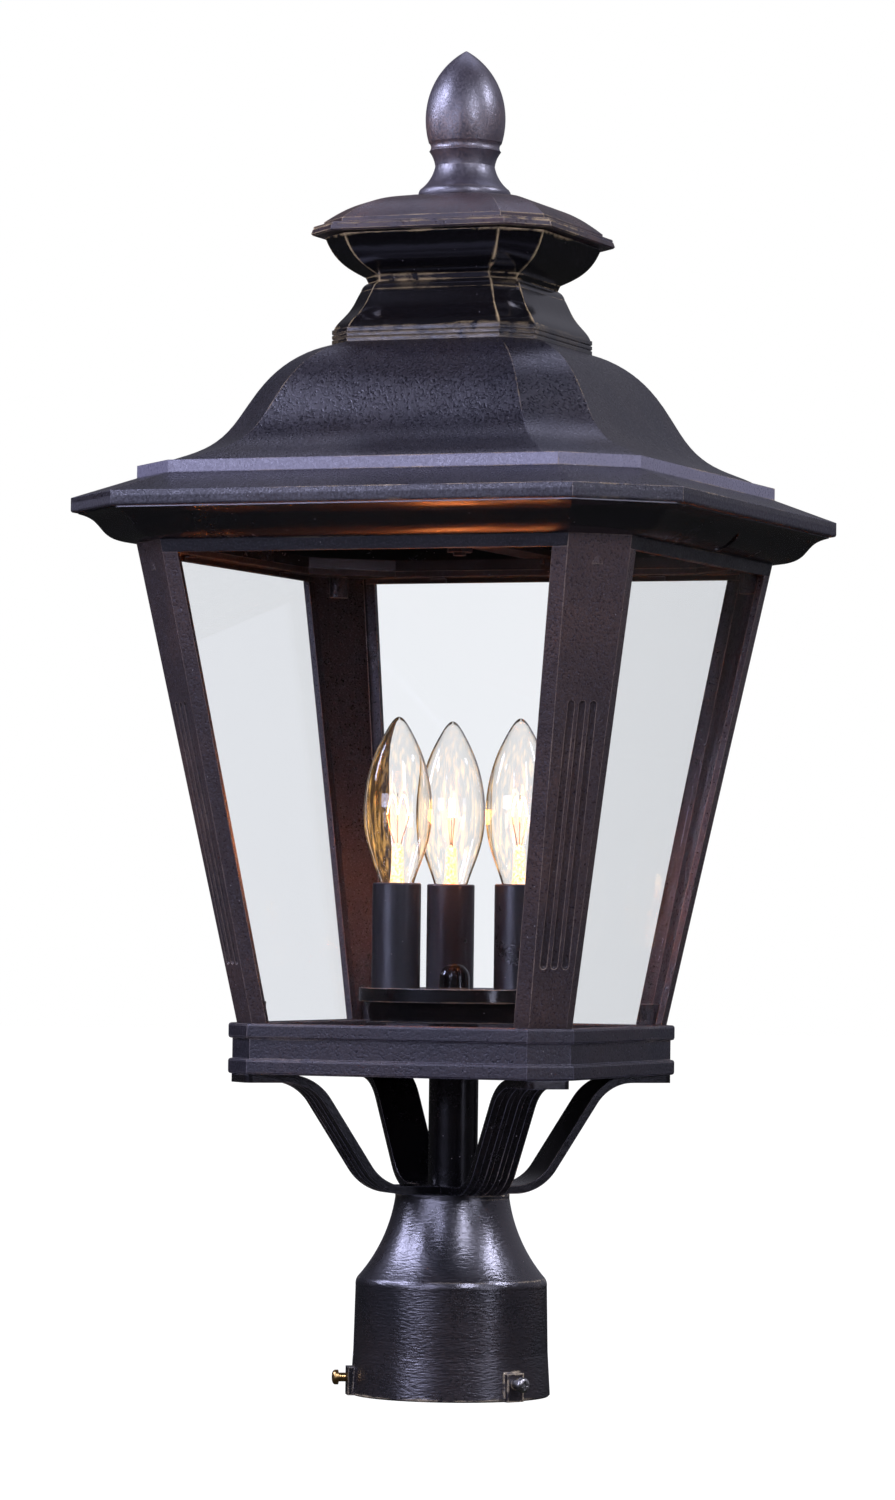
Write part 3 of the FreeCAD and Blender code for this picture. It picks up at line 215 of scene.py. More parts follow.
def add_floor():
    mesh = bpy.data.meshes.new("studio_floor")
    shape = bmesh.new()
    bmesh.ops.create_circle(shape, cap_ends=True, segments=64, radius=9.0)
    shape.to_mesh(mesh)
    shape.free()
    floor = into_scene("studio_floor", mesh)
    paper = bpy.data.materials.new("studio_paper")
    paper.use_nodes = True
    tree = paper.node_tree
    tree.nodes.clear()
    out = tree.nodes.new("ShaderNodeOutputMaterial")
    sheet = tree.nodes.new("ShaderNodeBsdfDiffuse")
    lit = tree.nodes.new("ShaderNodeEmission")
    path = tree.nodes.new("ShaderNodeLightPath")
    mixer = tree.nodes.new("ShaderNodeMixShader")
    fibre = noise(tree, 60.0, 3.0)
    tone = mix_colour(tree, fibre, (0.60, 0.60, 0.61), (0.64, 0.64, 0.65))
    seen = seen_directly(tree, path)
    mirrored = math_node(tree, "MAXIMUM", path.outputs["Is Glossy Ray"],
                         path.outputs["Is Transmission Ray"])
    share = mix_value(tree, seen, mirrored, 0.86)
    tree.links.new(mix_value(tree, seen, 0.02, 1.2), lit.inputs["Strength"])
    tree.links.new(tone, sheet.inputs["Color"])
    tree.links.new(share, mixer.inputs["Fac"])
    tree.links.new(sheet.outputs[0], mixer.inputs[1])
    tree.links.new(lit.outputs[0], mixer.inputs[2])
    tree.links.new(mixer.outputs[0], out.inputs["Surface"])
    mesh.materials.append(paper)


# ---------------------------------------------------------------- small node helpers

def put(tree, socket, value):
    """Link a node's output to this socket, or set the socket to a number or colour."""
    if isinstance(value, bpy.types.NodeSocket):
        tree.links.new(value, socket)
    elif isinstance(value, tuple) and socket.type == "RGBA":
        socket.default_value = value + (1.0,) if len(value) == 3 else value
    else:
        socket.default_value = value


def math_node(tree, operation, first, second=0.0, clamp=False):
    node = tree.nodes.new("ShaderNodeMath")
    node.operation = operation
    node.use_clamp = clamp
    put(tree, node.inputs[0], first)
    put(tree, node.inputs[1], second)
    return node.outputs[0]


def map_value(tree, value, low, high, to_low=0.0, to_high=1.0):
    node = tree.nodes.new("ShaderNodeMapRange")
    put(tree, node.inputs["Value"], value)
    put(tree, node.inputs["From Min"], low)
    put(tree, node.inputs["From Max"], high)
    put(tree, node.inputs["To Min"], to_low)
    put(tree, node.inputs["To Max"], to_high)
    return node.outputs["Result"]


def mix_value(tree, share, first, second):
    node = tree.nodes.new("ShaderNodeMix")
    put(tree, node.inputs[0], share)
    put(tree, node.inputs[2], first)
    put(tree, node.inputs[3], second)
    return node.outputs[0]


def mix_colour(tree, share, first, second):
    node = tree.nodes.new("ShaderNodeMix")
    node.data_type = "RGBA"
    put(tree, node.inputs[0], share)
    put(tree, node.inputs[6], first)
    put(tree, node.inputs[7], second)
    return node.outputs[2]


def place_on_piece(tree, centre=(0.0, 0.0, 0.0), stretch=(1.0, 1.0, 1.0)):
    """Object coordinates, moved so that centre is zero and stretched along the axes."""
    where = tree.nodes.new("ShaderNodeTexCoord")
    shift = tree.nodes.new("ShaderNodeMapping")
    shift.inputs["Location"].default_value = [-c * s for c, s in zip(centre, stretch)]
    shift.inputs["Scale"].default_value = stretch
    tree.links.new(where.outputs["Object"], shift.inputs["Vector"])
    return shift.outputs["Vector"]


def height_mask(tree, low, high, soft=0.0004):
    """1 between two heights of the lantern and 0 above and below them."""
    split = tree.nodes.new("ShaderNodeSeparateXYZ")
    tree.links.new(place_on_piece(tree), split.inputs[0])
    above = map_value(tree, split.outputs["Z"], low - soft, low + soft)
    below = map_value(tree, split.outputs["Z"], high + soft, high - soft)
    return math_node(tree, "MULTIPLY", above, below)


def facing_out(tree):
    """1 on surfaces that face away from the lantern's upright axis and 0 on those that face it."""
    flat = tree.nodes.new("ShaderNodeVectorMath")
    flat.operation = "NORMALIZE"
    tree.links.new(place_on_piece(tree, (0.0, 0.0, 0.0), (1.0, 1.0, 0.0)), flat.inputs[0])
    outward = tree.nodes.new("ShaderNodeVectorMath")
    outward.operation = "DOT_PRODUCT"
    tree.links.new(flat.outputs[0], outward.inputs[0])
    tree.links.new(tree.nodes.new("ShaderNodeNewGeometry").outputs["True Normal"], outward.inputs[1])
    return map_value(tree, outward.outputs["Value"], 0.10, 0.35)


def noise(tree, scale, detail=2.0, rough=0.5, vector=None):
    node = tree.nodes.new("ShaderNodeTexNoise")
    node.inputs["Scale"].default_value = scale
    node.inputs["Detail"].default_value = detail
    node.inputs["Roughness"].default_value = rough
    if vector is None:
        vector = place_on_piece(tree)
    tree.links.new(vector, node.inputs["Vector"])
    return node.outputs[0]


def new_group(name, inputs, outputs):
    tree = bpy.data.node_groups.new(name, "ShaderNodeTree")
    kinds = {"value": "NodeSocketFloat", "colour": "NodeSocketColor", "vector": "NodeSocketVector"}
    for label, kind, start in inputs:
        socket = tree.interface.new_socket(name=label, in_out="INPUT", socket_type=kinds[kind])
        socket.default_value = start
    for label, kind in outputs:
        tree.interface.new_socket(name=label, in_out="OUTPUT", socket_type=kinds[kind])
    entry = tree.nodes.new("NodeGroupInput")
    leave = tree.nodes.new("NodeGroupOutput")
    return tree, entry, leave


def use_group(tree, group, **values):
    node = tree.nodes.new("ShaderNodeGroup")
    node.node_tree = group
    for label, value in values.items():
        put(tree, node.inputs[label.replace("_", " ")], value)
    return node


# ---------------------------------------------------------------- shared surface effects

def make_edge_group():
    """A piece's rounded normal, and a mask that rises towards its edges; Sharp is where it is full."""
    tree, entry, leave = new_group("edge_of_piece", [("Width", "value", 0.0008), ("Sharp", "value", 0.93)],
                                   [("Mask", "value"), ("Normal", "vector")])
    eased = tree.nodes.new("ShaderNodeBevel")
    eased.samples = 4
    tree.links.new(entry.outputs["Width"], eased.inputs["Radius"])
    flat = tree.nodes.new("ShaderNodeNewGeometry")
    agree = tree.nodes.new("ShaderNodeVectorMath")
    agree.operation = "DOT_PRODUCT"
    tree.links.new(eased.outputs["Normal"], agree.inputs[0])
    tree.links.new(flat.outputs["Normal"], agree.inputs[1])
    mask = map_value(tree, agree.outputs["Value"], 0.997, entry.outputs["Sharp"])
    tree.links.new(mask, leave.inputs["Mask"])
    tree.links.new(eased.outputs["Normal"], leave.inputs["Normal"])
    return tree


def make_paint_group(edge_group):
    """Sprayed dark paint over cast metal: brown drift, pale specks, flakes, pale edge lines that are partly
    wear and partly a painted highlight, and rubbed edges.
    """
    tree, entry, leave = new_group(
        "sprayed_paint",
        [("Paint", "colour", (0.012, 0.011, 0.015, 1.0)), ("Brown", "colour", (0.05, 0.028, 0.018, 1.0)),
         ("Brown Share", "value", 0.3), ("Rub", "colour", (0.55, 0.33, 0.14, 1.0)),
         ("Rub Share", "value", 0.3), ("Rub Width", "value", 0.0008), ("Rub Sharp", "value", 0.93),
         ("Edge", "colour", (0.2, 0.2, 0.25, 1.0)), ("Edge Share", "value", 0.3),
         ("Roughness", "value", 0.35), ("Grain", "value", 0.25), ("Peel", "value", 0.25),
         ("Drawn", "value", 1.0), ("Easing", "value", 0.0008)],
        [("Colour", "colour"), ("Roughness", "value"), ("Normal", "vector"), ("Rubbed", "value")])
    drift = noise(tree, 14.0, 4.0, 0.6)
    brown_patch = map_value(tree, drift, 0.40, 0.62)
    fine = noise(tree, 850.0, 2.0, 0.6)
    brown_grain = map_value(tree, fine, 0.32, 0.60)
    brown_share = math_node(tree, "MULTIPLY", math_node(tree, "MULTIPLY", brown_patch, brown_grain),
                            entry.outputs["Brown Share"])
    coat = mix_colour(tree, brown_share, entry.outputs["Paint"], entry.outputs["Brown"])
    dust = tree.nodes.new("ShaderNodeTexVoronoi")
    dust.inputs["Scale"].default_value = 260.0
    tree.links.new(place_on_piece(tree), dust.inputs["Vector"])
    chosen = tree.nodes.new("ShaderNodeSeparateColor")
    tree.links.new(dust.outputs["Color"], chosen.inputs[0])
    speck = math_node(tree, "MULTIPLY", map_value(tree, dust.outputs["Distance"], 0.08, 0.04, 0.0, 0.8),
                      math_node(tree, "GREATER_THAN", chosen.outputs[0], 0.75))
    coat = mix_colour(tree, speck, coat, (0.30, 0.28, 0.30))
    flake = math_node(tree, "MULTIPLY", map_value(tree, noise(tree, 1300.0, 1.0, 0.5), 0.54, 0.66),
                      entry.outputs["Grain"])
    coat = mix_colour(tree, math_node(tree, "MULTIPLY", flake, 0.5), coat, (0.055, 0.052, 0.070))
    # pale edge lines: partly paint wear, partly a painted highlight on the eased edges
    line = use_group(tree, edge_group, Width=0.0005, Sharp=0.93)
    wear_and_highlight_breakup = map_value(tree, noise(tree, 60.0, 3.0, 0.7), 0.25, 0.5, 0.25, 1.0)
    edge = math_node(tree, "MULTIPLY", math_node(tree, "MULTIPLY", line.outputs["Mask"], wear_and_highlight_breakup),
                     entry.outputs["Edge Share"], True)
    coat = mix_colour(tree, edge, coat, entry.outputs["Edge"])
    uneven = map_value(tree, noise(tree, 45.0, 2.0, 0.6), 0.38, 0.62, 0.35, 1.5)
    rim = use_group(tree, edge_group, Width=math_node(tree, "MULTIPLY", entry.outputs["Rub Width"], uneven),
                    Sharp=entry.outputs["Rub Sharp"])
    stretch = map_value(tree, noise(tree, 11.0, 2.0, 0.5), 0.44, 0.54)
    broken = map_value(tree, noise(tree, 170.0, 3.0, 0.65), 0.36, 0.52)
    rubbed = math_node(tree, "MULTIPLY", rim.outputs["Mask"], math_node(tree, "MULTIPLY", stretch, broken))
    rubbed = math_node(tree, "MULTIPLY", rubbed, entry.outputs["Rub Share"], True)
    coat = mix_colour(tree, rubbed, coat, entry.outputs["Rub"])
    wear = map_value(tree, noise(tree, 35.0, 5.0, 0.7), 0.3, 0.7, 0.86, 1.2)
    rough = math_node(tree, "MULTIPLY", entry.outputs["Roughness"], wear)
    glint = map_value(tree, fine, 0.35, 0.65, -0.35, 0.35)
    glint = math_node(tree, "ADD", math_node(tree, "MULTIPLY", glint, entry.outputs["Grain"]), 1.0)
    rough = math_node(tree, "MULTIPLY", rough, glint)
    pores = tree.nodes.new("ShaderNodeBump")
    pores.inputs["Distance"].default_value = 0.0002
    tree.links.new(entry.outputs["Grain"], pores.inputs["Strength"])
    tree.links.new(fine, pores.inputs["Height"])
    eased = use_group(tree, edge_group, Width=entry.outputs["Easing"])
    tree.links.new(eased.outputs["Normal"], pores.inputs["Normal"])
    ripple = tree.nodes.new("ShaderNodeBump")
    ripple.inputs["Distance"].default_value = 0.0006
    tree.links.new(entry.outputs["Peel"], ripple.inputs["Strength"])
    drawn_out = tree.nodes.new("ShaderNodeCombineXYZ")
    drawn_out.inputs[0].default_value = 1.0
    drawn_out.inputs[1].default_value = 1.0
    tree.links.new(entry.outputs["Drawn"], drawn_out.inputs[2])
    drawn_place = tree.nodes.new("ShaderNodeVectorMath")
    drawn_place.operation = "MULTIPLY"
    tree.links.new(place_on_piece(tree), drawn_place.inputs[0])
    tree.links.new(drawn_out.outputs[0], drawn_place.inputs[1])
    tree.links.new(noise(tree, 300.0, 2.0, 0.5, drawn_place.outputs[0]), ripple.inputs["Height"])
    tree.links.new(pores.outputs["Normal"], ripple.inputs["Normal"])
    tree.links.new(coat, leave.inputs["Colour"])
    tree.links.new(rough, leave.inputs["Roughness"])
    tree.links.new(ripple.outputs["Normal"], leave.inputs["Normal"])
    tree.links.new(rubbed, leave.inputs["Rubbed"])
    return tree


def make_smudge_group():
    """Faint unevenness of clean glass: a value for roughness, a normal and a slow drift of tint."""
    tree, entry, leave = new_group("glass_surface", [("Haze", "value", 0.01), ("Wave", "value", 0.02)],
                                   [("Roughness", "value"), ("Normal", "vector"), ("Tint", "value")])
    cloud = noise(tree, 9.0, 3.0)
    haze = math_node(tree, "MULTIPLY", map_value(tree, cloud, 0.45, 0.8), entry.outputs["Haze"])
    bump = tree.nodes.new("ShaderNodeBump")
    bump.inputs["Distance"].default_value = 0.001
    tree.links.new(entry.outputs["Wave"], bump.inputs["Strength"])
    tree.links.new(noise(tree, 25.0, 1.0), bump.inputs["Height"])
    tree.links.new(haze, leave.inputs["Roughness"])
    tree.links.new(bump.outputs["Normal"], leave.inputs["Normal"])
    tree.links.new(cloud, leave.inputs["Tint"])
    return tree


def make_glow_group():
    """How near a point is to a hot filament: 1 at its middle and 0 from the given reach outwards."""
    tree, entry, leave = new_group("near_filament",
                                   [("Where", "vector", (0.0, 0.0, 0.0)), ("Reach", "value", 0.02)],
                                   [("Mask", "value")])
    length = tree.nodes.new("ShaderNodeVectorMath")
    length.operation = "LENGTH"
    tree.links.new(entry.outputs["Where"], length.inputs[0])
    share = math_node(tree, "DIVIDE", length.outputs["Value"], entry.outputs["Reach"])
    mask = map_value(tree, share, 1.0, 0.0)
    soft = math_node(tree, "POWER", mask, 2.2)
    tree.links.new(soft, leave.inputs["Mask"])
    return tree


# ---------------------------------------------------------------- materials

def new_material(name):
    material = bpy.data.materials.new(name)
    material.use_nodes = True
    tree = material.node_tree
    tree.nodes.clear()
    out = tree.nodes.new("ShaderNodeOutputMaterial")
    shader = tree.nodes.new("ShaderNodeBsdfPrincipled")
    tree.links.new(shader.outputs[0], out.inputs["Surface"])
    return material, tree, shader, out


def painted(name, paint, brown, brown_share=0.35, rub=(0.62, 0.43, 0.20), rub_share=0.5,
            rub_width=0.0007, rub_sharp=0.90, roughness=0.40, grain=0.5, peel=0.10, easing=0.0012,
            coat=0.0, level=0.5, edge=(0.16, 0.155, 0.20), edge_share=0.3, sheen=(0.88, 0.88, 1.0),
            rubbed_band=None, painted_sheen_band=None, black_inside=False, drawn=1.0, bend=1.5,
            brown_band=None, rough_band=None, painted_groove_shade=False):
    """Painted finish. A band is the two heights between which the paint is rubbed, brown or rough, or takes
    a paler colour as a painted sheen, and may name how softly it ends."""
    material, tree, shader, _ = new_material(name)
    # painted shade: faces turned into the lantern take deep black paint, with less brown and rub
    if black_inside:
        outside = facing_out(tree)
        paint = mix_colour(tree, outside, deep_black, paint)
        brown_share = map_value(tree, outside, 0.0, 1.0, 0.05, brown_share)
        rub_share = map_value(tree, outside, 0.0, 1.0, 0.2, rub_share)
    # painted shade: paint darkened towards deep black in grooves and recesses by ambient occlusion
    if painted_groove_shade:
        groove_occlusion = tree.nodes.new("ShaderNodeAmbientOcclusion")
        groove_occlusion.samples = 4
        groove_occlusion.only_local = True
        groove_occlusion.inputs["Distance"].default_value = groove_shade_reach
        paint = mix_colour(tree, map_value(tree, groove_occlusion.outputs["AO"], 0.45, 0.85), deep_black, paint)
    if rough_band:
        roughness = map_value(tree, height_mask(tree, *rough_band), 0.0, 1.0, roughness,
                              brim_edge_roughness)
    if brown_band:
        brown_share = map_value(tree, height_mask(tree, *brown_band), 0.0, 1.0, brown_share * 0.15,
                                brown_share)
    # painted reflection: the crest band takes a paler violet in place of the lamps' sheen
    if painted_sheen_band:
        paint = mix_colour(tree, height_mask(tree, *painted_sheen_band), paint, crest_painted_sheen)
    if rubbed_band:
        rub_share = map_value(tree, height_mask(tree, *rubbed_band), 0.0, 1.0, rub_share * 0.2,
                              rub_share)
    finish = use_group(tree, sprayed_paint, Paint=paint, Brown=brown, Brown_Share=brown_share, Rub=rub,
                       Rub_Share=rub_share, Rub_Width=rub_width, Rub_Sharp=rub_sharp, Edge=edge,
                       Edge_Share=edge_share, Roughness=roughness, Grain=grain, Peel=peel,
                       Drawn=drawn, Easing=easing)
    tree.links.new(finish.outputs["Colour"], shader.inputs["Base Color"])
    tree.links.new(finish.outputs["Roughness"], shader.inputs["Roughness"])
    tree.links.new(finish.outputs["Normal"], shader.inputs["Normal"])
    tree.links.new(math_node(tree, "MULTIPLY", finish.outputs["Rubbed"], 0.35), shader.inputs["Metallic"])
    shader.inputs["Coat Weight"].default_value = coat
    shader.inputs["Coat Roughness"].default_value = 0.12
    shader.inputs["Specular IOR Level"].default_value = level
    shader.inputs["Specular Tint"].default_value = sheen + (1.0,)
    shader.inputs["IOR"].default_value = bend
    return material


def plain_metal(name, light, dark, roughness):
    material, tree, shader, _ = new_material(name)
    mottle = map_value(tree, noise(tree, 900.0, 3.0, 0.6), 0.3, 0.7)
    tree.links.new(mix_colour(tree, mottle, light, dark), shader.inputs["Base Color"])
    tree.links.new(map_value(tree, noise(tree, 240.0, 3.0), 0.3, 0.7, roughness - 0.06, roughness + 0.1),
                   shader.inputs["Roughness"])
    edge = use_group(tree, edge_of_piece, Width=0.0003)
    tree.links.new(edge.outputs["Normal"], shader.inputs["Normal"])
    shader.inputs["Metallic"].default_value = 1.0
    return material


def clear_glass(name, tint, shade, haze, wave, shadow, bend, absorb=None):
    """Glass whose shadow is light; absorb is the colour that its thickness gathers."""
    material, tree, shader, out = new_material(name)
    surface = use_group(tree, glass_surface, Haze=haze, Wave=wave)
    tree.links.new(mix_colour(tree, surface.outputs["Tint"], tint, shade), shader.inputs["Base Color"])
    tree.links.new(surface.outputs["Roughness"], shader.inputs["Roughness"])
    tree.links.new(surface.outputs["Normal"], shader.inputs["Normal"])
    shader.inputs["Transmission Weight"].default_value = 1.0
    shader.inputs["IOR"].default_value = bend
    path = tree.nodes.new("ShaderNodeLightPath")
    through = tree.nodes.new("ShaderNodeBsdfTransparent")
    through.inputs["Color"].default_value = shadow + (1.0,)
    mixer = tree.nodes.new("ShaderNodeMixShader")
    tree.links.new(path.outputs["Is Shadow Ray"], mixer.inputs["Fac"])
    tree.links.new(shader.outputs[0], mixer.inputs[1])
    tree.links.new(through.outputs[0], mixer.inputs[2])
    tree.links.new(mixer.outputs[0], out.inputs["Surface"])
    if absorb:
        body = tree.nodes.new("ShaderNodeVolumeAbsorption")
        body.inputs["Color"].default_value = absorb + (1.0,)
        body.inputs["Density"].default_value = 8.0
        tree.links.new(body.outputs[0], out.inputs["Volume"])
    return material, tree, shader


def bulb_glass_material(number, x, y):
    """Clear glass with a painted darker rim that stands in for shade at its edges, and a painted glow with
    upright streaks round the filament that stands in for its light in the glass.
    """
    clear = (1.0, 0.995, 0.985)
    material, tree, shader = clear_glass("bulb_glass_clear_%d" % number, clear, (0.99, 0.985, 0.97),
                                         haze=0.01, wave=0.015, shadow=(0.97, 0.96, 0.93), bend=1.45)
    # painted shade: the glass colour darkens towards its rim
    rim = tree.nodes.new("ShaderNodeLayerWeight")
    rim.inputs["Blend"].default_value = 0.35
    outline = math_node(tree, "POWER", rim.outputs["Facing"], 2.5)
    tree.links.new(mix_colour(tree, outline, clear, (0.50, 0.43, 0.33)), shader.inputs["Base Color"])
    # painted glow: emission in upright streaks near the filament, standing in for its light in the glass
    where = place_on_piece(tree, (x, y, filament_height), (1.0, 1.0, 0.6))
    near = use_group(tree, near_filament, Where=where, Reach=0.034)
    upright = place_on_piece(tree, (x, y, filament_height), (1.0, 1.0, 0.10))
    painted_glow_streak = map_value(tree, noise(tree, 520.0, 2.0, 0.6, upright), 0.53, 0.64)
    painted_glow_tone = mix_colour(tree, painted_glow_streak, (0.03, 0.017, 0.005), (1.0, 0.55, 0.14))
    glow = mix_colour(tree, near.outputs["Mask"], (0.0, 0.0, 0.0), painted_glow_tone)
    tree.links.new(glow, shader.inputs["Emission Color"])
    shader.inputs["Emission Strength"].default_value = 1.1
    return material


def glowing(name, core, skin, strength, scale):
    """Glowing surface that runs unevenly from its skin's colour to its core's: a hot filament, or a painted
    glow on glass that is not hot.
    """
    material, tree, shader, _ = new_material(name)
    uneven = map_value(tree, noise(tree, scale, 3.0, 0.6), 0.35, 0.65)
    tone = mix_colour(tree, uneven, skin, core)
    tree.links.new(tone, shader.inputs["Emission Color"])
    tree.links.new(tone, shader.inputs["Base Color"])
    shader.inputs["Emission Strength"].default_value = strength
    shader.inputs["Roughness"].default_value = 0.5
    return material


# ---------------------------------------------------------------- piece builders

def add_piece(name, shape, material, body, slot, *stands_for, smooth=True):
    """Make a finished piece from a bmesh and let it ride on its body."""
    bmesh.ops.recalc_face_normals(shape, faces=shape.faces)
    mesh = bpy.data.meshes.new(name)
    shape.to_mesh(mesh)
    shape.free()
    mesh.shade_smooth() if smooth else mesh.shade_flat()
    mesh.materials.append(material)
    piece = into_scene(name, mesh)
    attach(piece, body)
    if stands_for:
        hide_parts(*stands_for)
    return piece


def spun(profile, steps, centre=(0.0, 0.0)):
    """Surface of revolution about an upright axis from a profile of radius and height."""
    shape = bmesh.new()
    corners = [shape.verts.new((centre[0] + radius, centre[1], height)) for radius, height in profile]
    rim = [shape.edges.new(pair) for pair in zip(corners, corners[1:])]
    bmesh.ops.spin(shape, geom=corners + rim, axis=(0, 0, 1), cent=(centre[0], centre[1], 0.0),
                   angle=math.tau, steps=steps, use_merge=True)
    bmesh.ops.remove_doubles(shape, verts=shape.verts, dist=1e-6)
    return shape


def smoothed(piece, levels):
    finer = piece.modifiers.new("finer", "SUBSURF")
    finer.levels = levels
    finer.render_levels = levels


def wire_piece(name, paths, thickness, material, body, slot):
    """Round wires along smooth paths, as one mesh."""
    curve = bpy.data.curves.new(name, "CURVE")
    curve.dimensions = "3D"
    curve.bevel_depth = thickness
    curve.bevel_resolution = 2
    curve.resolution_u = 4
    curve.use_fill_caps = True
    for path in paths:
        line = curve.splines.new("NURBS")
        line.points.add(len(path) - 1)
        for point, spot in zip(line.points, path):
            point.co = tuple(spot) + (1.0,)
        line.order_u = 3
        line.use_endpoint_u = True
    drawn = into_scene(name + "_line", curve)
    bpy.context.view_layer.update()
    mesh = bpy.data.meshes.new_from_object(drawn.evaluated_get(bpy.context.evaluated_depsgraph_get()))
    bpy.data.objects.remove(drawn)
    shape = bmesh.new()
    shape.from_mesh(mesh)
    bpy.data.meshes.remove(mesh)
    bmesh.ops.remove_doubles(shape, verts=shape.verts, dist=1e-7)
    return add_piece(name, shape, material, body, slot)


# ---------------------------------------------------------------- candle pan

def make_candle_pan():
    """Deep round pan that sits on the stem cap by the well in its floor."""
    ledge = pan_top - pan_rim_height
    floor = ledge - pan_skirt_height
    skirt = pan_radius - pan_rim_step
    bottom = skirt - pan_skirt_lean
    corner = pan_easing * (1.0 - math.sqrt(0.5))
    outside = [(pan_bolt_hole, pan_cone_foot), (pan_well, pan_cone_foot), (pan_well, floor),
               (bottom - pan_easing, floor), (bottom - corner, floor + corner),
               (bottom, floor + pan_easing), (skirt, ledge), (pan_radius, ledge), (pan_radius, pan_top)]
    inside = [(pan_radius - pan_wall, pan_top), (pan_radius - pan_wall, ledge + pan_wall),
              (skirt - pan_wall, ledge + pan_wall), (bottom - pan_wall, floor + pan_wall),
              (pan_well + pan_wall, floor + pan_wall), (pan_well + pan_wall, pan_cone_foot + pan_wall),
              (pan_bolt_hole, pan_cone_foot + pan_wall)]
    pan = add_piece("deep_candle_pan", spun(outside + inside + outside[:1], 96), pan_paint, "lantern",
                    "dark_bronze_paint", "candle_pan")
    pan.data.set_sharp_from_angle(angle=math.radians(25.0))


# ---------------------------------------------------------------- bulbs

def bulb_outline(wall):
    """Half outline of a torpedo bulb in metres from its tip down to its neck, drawn in by wall (mm)."""
    radius_and_fall = [
        (0.0, 0.0), (0.9, 0.15), (1.9, 0.8), (3.2, 2.2), (5.2, 5.3), (8.6, 11.6), (11.6, 18.4),
        (14.0, 26.6), (15.5, 35.5), (15.9, 42.6), (15.5, 50.5), (14.2, 57.4), (12.0, 64.3),
        (9.4, 71.0), (7.7, 76.2), (6.8, 80.0), (6.6, 83.7)]
    return [(max(0.0, radius - wall) * MM, bulb_tip - (fall + wall * (fall < 1.0)) * MM)
            for radius, fall in radius_and_fall]


def make_bulb(number):
    """Glass envelope with a thin wall, the glass stem in its neck, three leads and a coiled filament."""
    x, y = bulb_centres[number - 1]
    body = "bulb_%d" % number
    shell = spun(bulb_outline(0.0) + bulb_outline(bulb_wall)[::-1], 40, (x, y))
    smoothed(add_piece("bulb_envelope_%d" % number, shell, bulb_glass_material(number, x, y), body,
                       "bulb_glass", "bulb_glass_%d" % number), 1)
    stem_outline = [(0.0, 0.0002), (0.0052, 0.0002), (0.0046, 0.003), (0.0030, 0.009), (0.0027, 0.018),
                    (0.0029, 0.023), (0.0018, 0.0255), (0.0, 0.026)]
    stem = spun([(radius, bulb_foot + rise) for radius, rise in stem_outline], 24, (x, y))
    smoothed(add_piece("bulb_glass_stem_%d" % number, stem, stem_painted_glow, body, "filament_glow",
                       "bulb_filament_%d" % number), 1)
    lean = math.radians(25.0 + 50.0 * number)
    side = Vector((math.cos(lean), math.sin(lean), 0.0))
    middle = Vector((x, y, 0.0))
    upwards = Vector((0.0, 0.0, 1.0))

    def spot(out, height):
        return middle + side * out * MM + Vector((0.0, 0.0, height))

    leads = [[spot(way * 1.0, bulb_foot + 0.023), spot(way * 2.4, bulb_foot + 0.028),
              spot(way * 5.4, filament_height - 0.002), spot(way * filament_half_width, filament_height)]
             for way in (-1, 1)]
    leads.append([spot(0.0, bulb_foot + 0.025), spot(0.1, filament_height),
                  spot(0.2, filament_height + 0.010)])
    wire_piece("bulb_leads_%d" % number, leads, lead_wire, lead_metal, body, "zinc_steel")
    coil = []
    steps = filament_turns * 4
    for step in range(steps + 1):
        share = step / steps
        out = -filament_half_width + 2 * filament_half_width * share
        rise = filament_rise * abs(math.sin(share * math.tau)) ** 0.8
        turn = share * filament_turns * math.tau
        wobble = upwards * math.cos(turn) + side.cross(upwards) * math.sin(turn)
        coil.append(spot(out, filament_height + rise * MM) + wobble * coil_radius)
    wire_piece("bulb_filament_coil_%d" % number, [coil], coil_wire, filament_hot, body, "filament_glow")


# ---------------------------------------------------------------- dress the nodes and build

edge_of_piece = make_edge_group()
sprayed_paint = make_paint_group(edge_of_piece)
glass_surface = make_smudge_group()
near_filament = make_glow_group()

deep_black = (0.0030, 0.0028, 0.0036)
warm_brown = (0.060, 0.032, 0.022)
gold = (0.80, 0.60, 0.34)

# edge and edge_share set pale lines along edges: partly paint wear, partly a painted highlight on the eased
# edges
housing_paint = painted("housing_paint", (0.0055, 0.0050, 0.0085), warm_brown, brown_share=0.15,
                        rub=gold, rub_share=0.7, roughness=0.32, grain=0.9, easing=0.0012, level=0.95,
                        edge_share=0.7, painted_sheen_band=crest_band, rough_band=brim_edge_band)
rail_paint = painted("rail_paint", deep_black, warm_brown, brown_share=0.10, rub=gold, rub_share=0.2,
                     roughness=0.40, grain=0.6, easing=0.0008)
base_paint = painted("base_paint", (0.0095, 0.0088, 0.0140), warm_brown, brown_share=0.25,
                     rub=(0.5, 0.4, 0.32), rub_share=0.4, roughness=0.36, grain=0.8, easing=0.0008,
                     level=0.6, edge_share=0.8, black_inside=True)
cove_paint = painted("cove_paint", (0.0022, 0.0021, 0.0026), warm_brown, brown_share=0.03, rub=gold,
                     rub_share=0.0, roughness=0.24, grain=0.01, peel=0.02, easing=0.0008, level=1.0,
                     edge_share=0.0, bend=1.8)
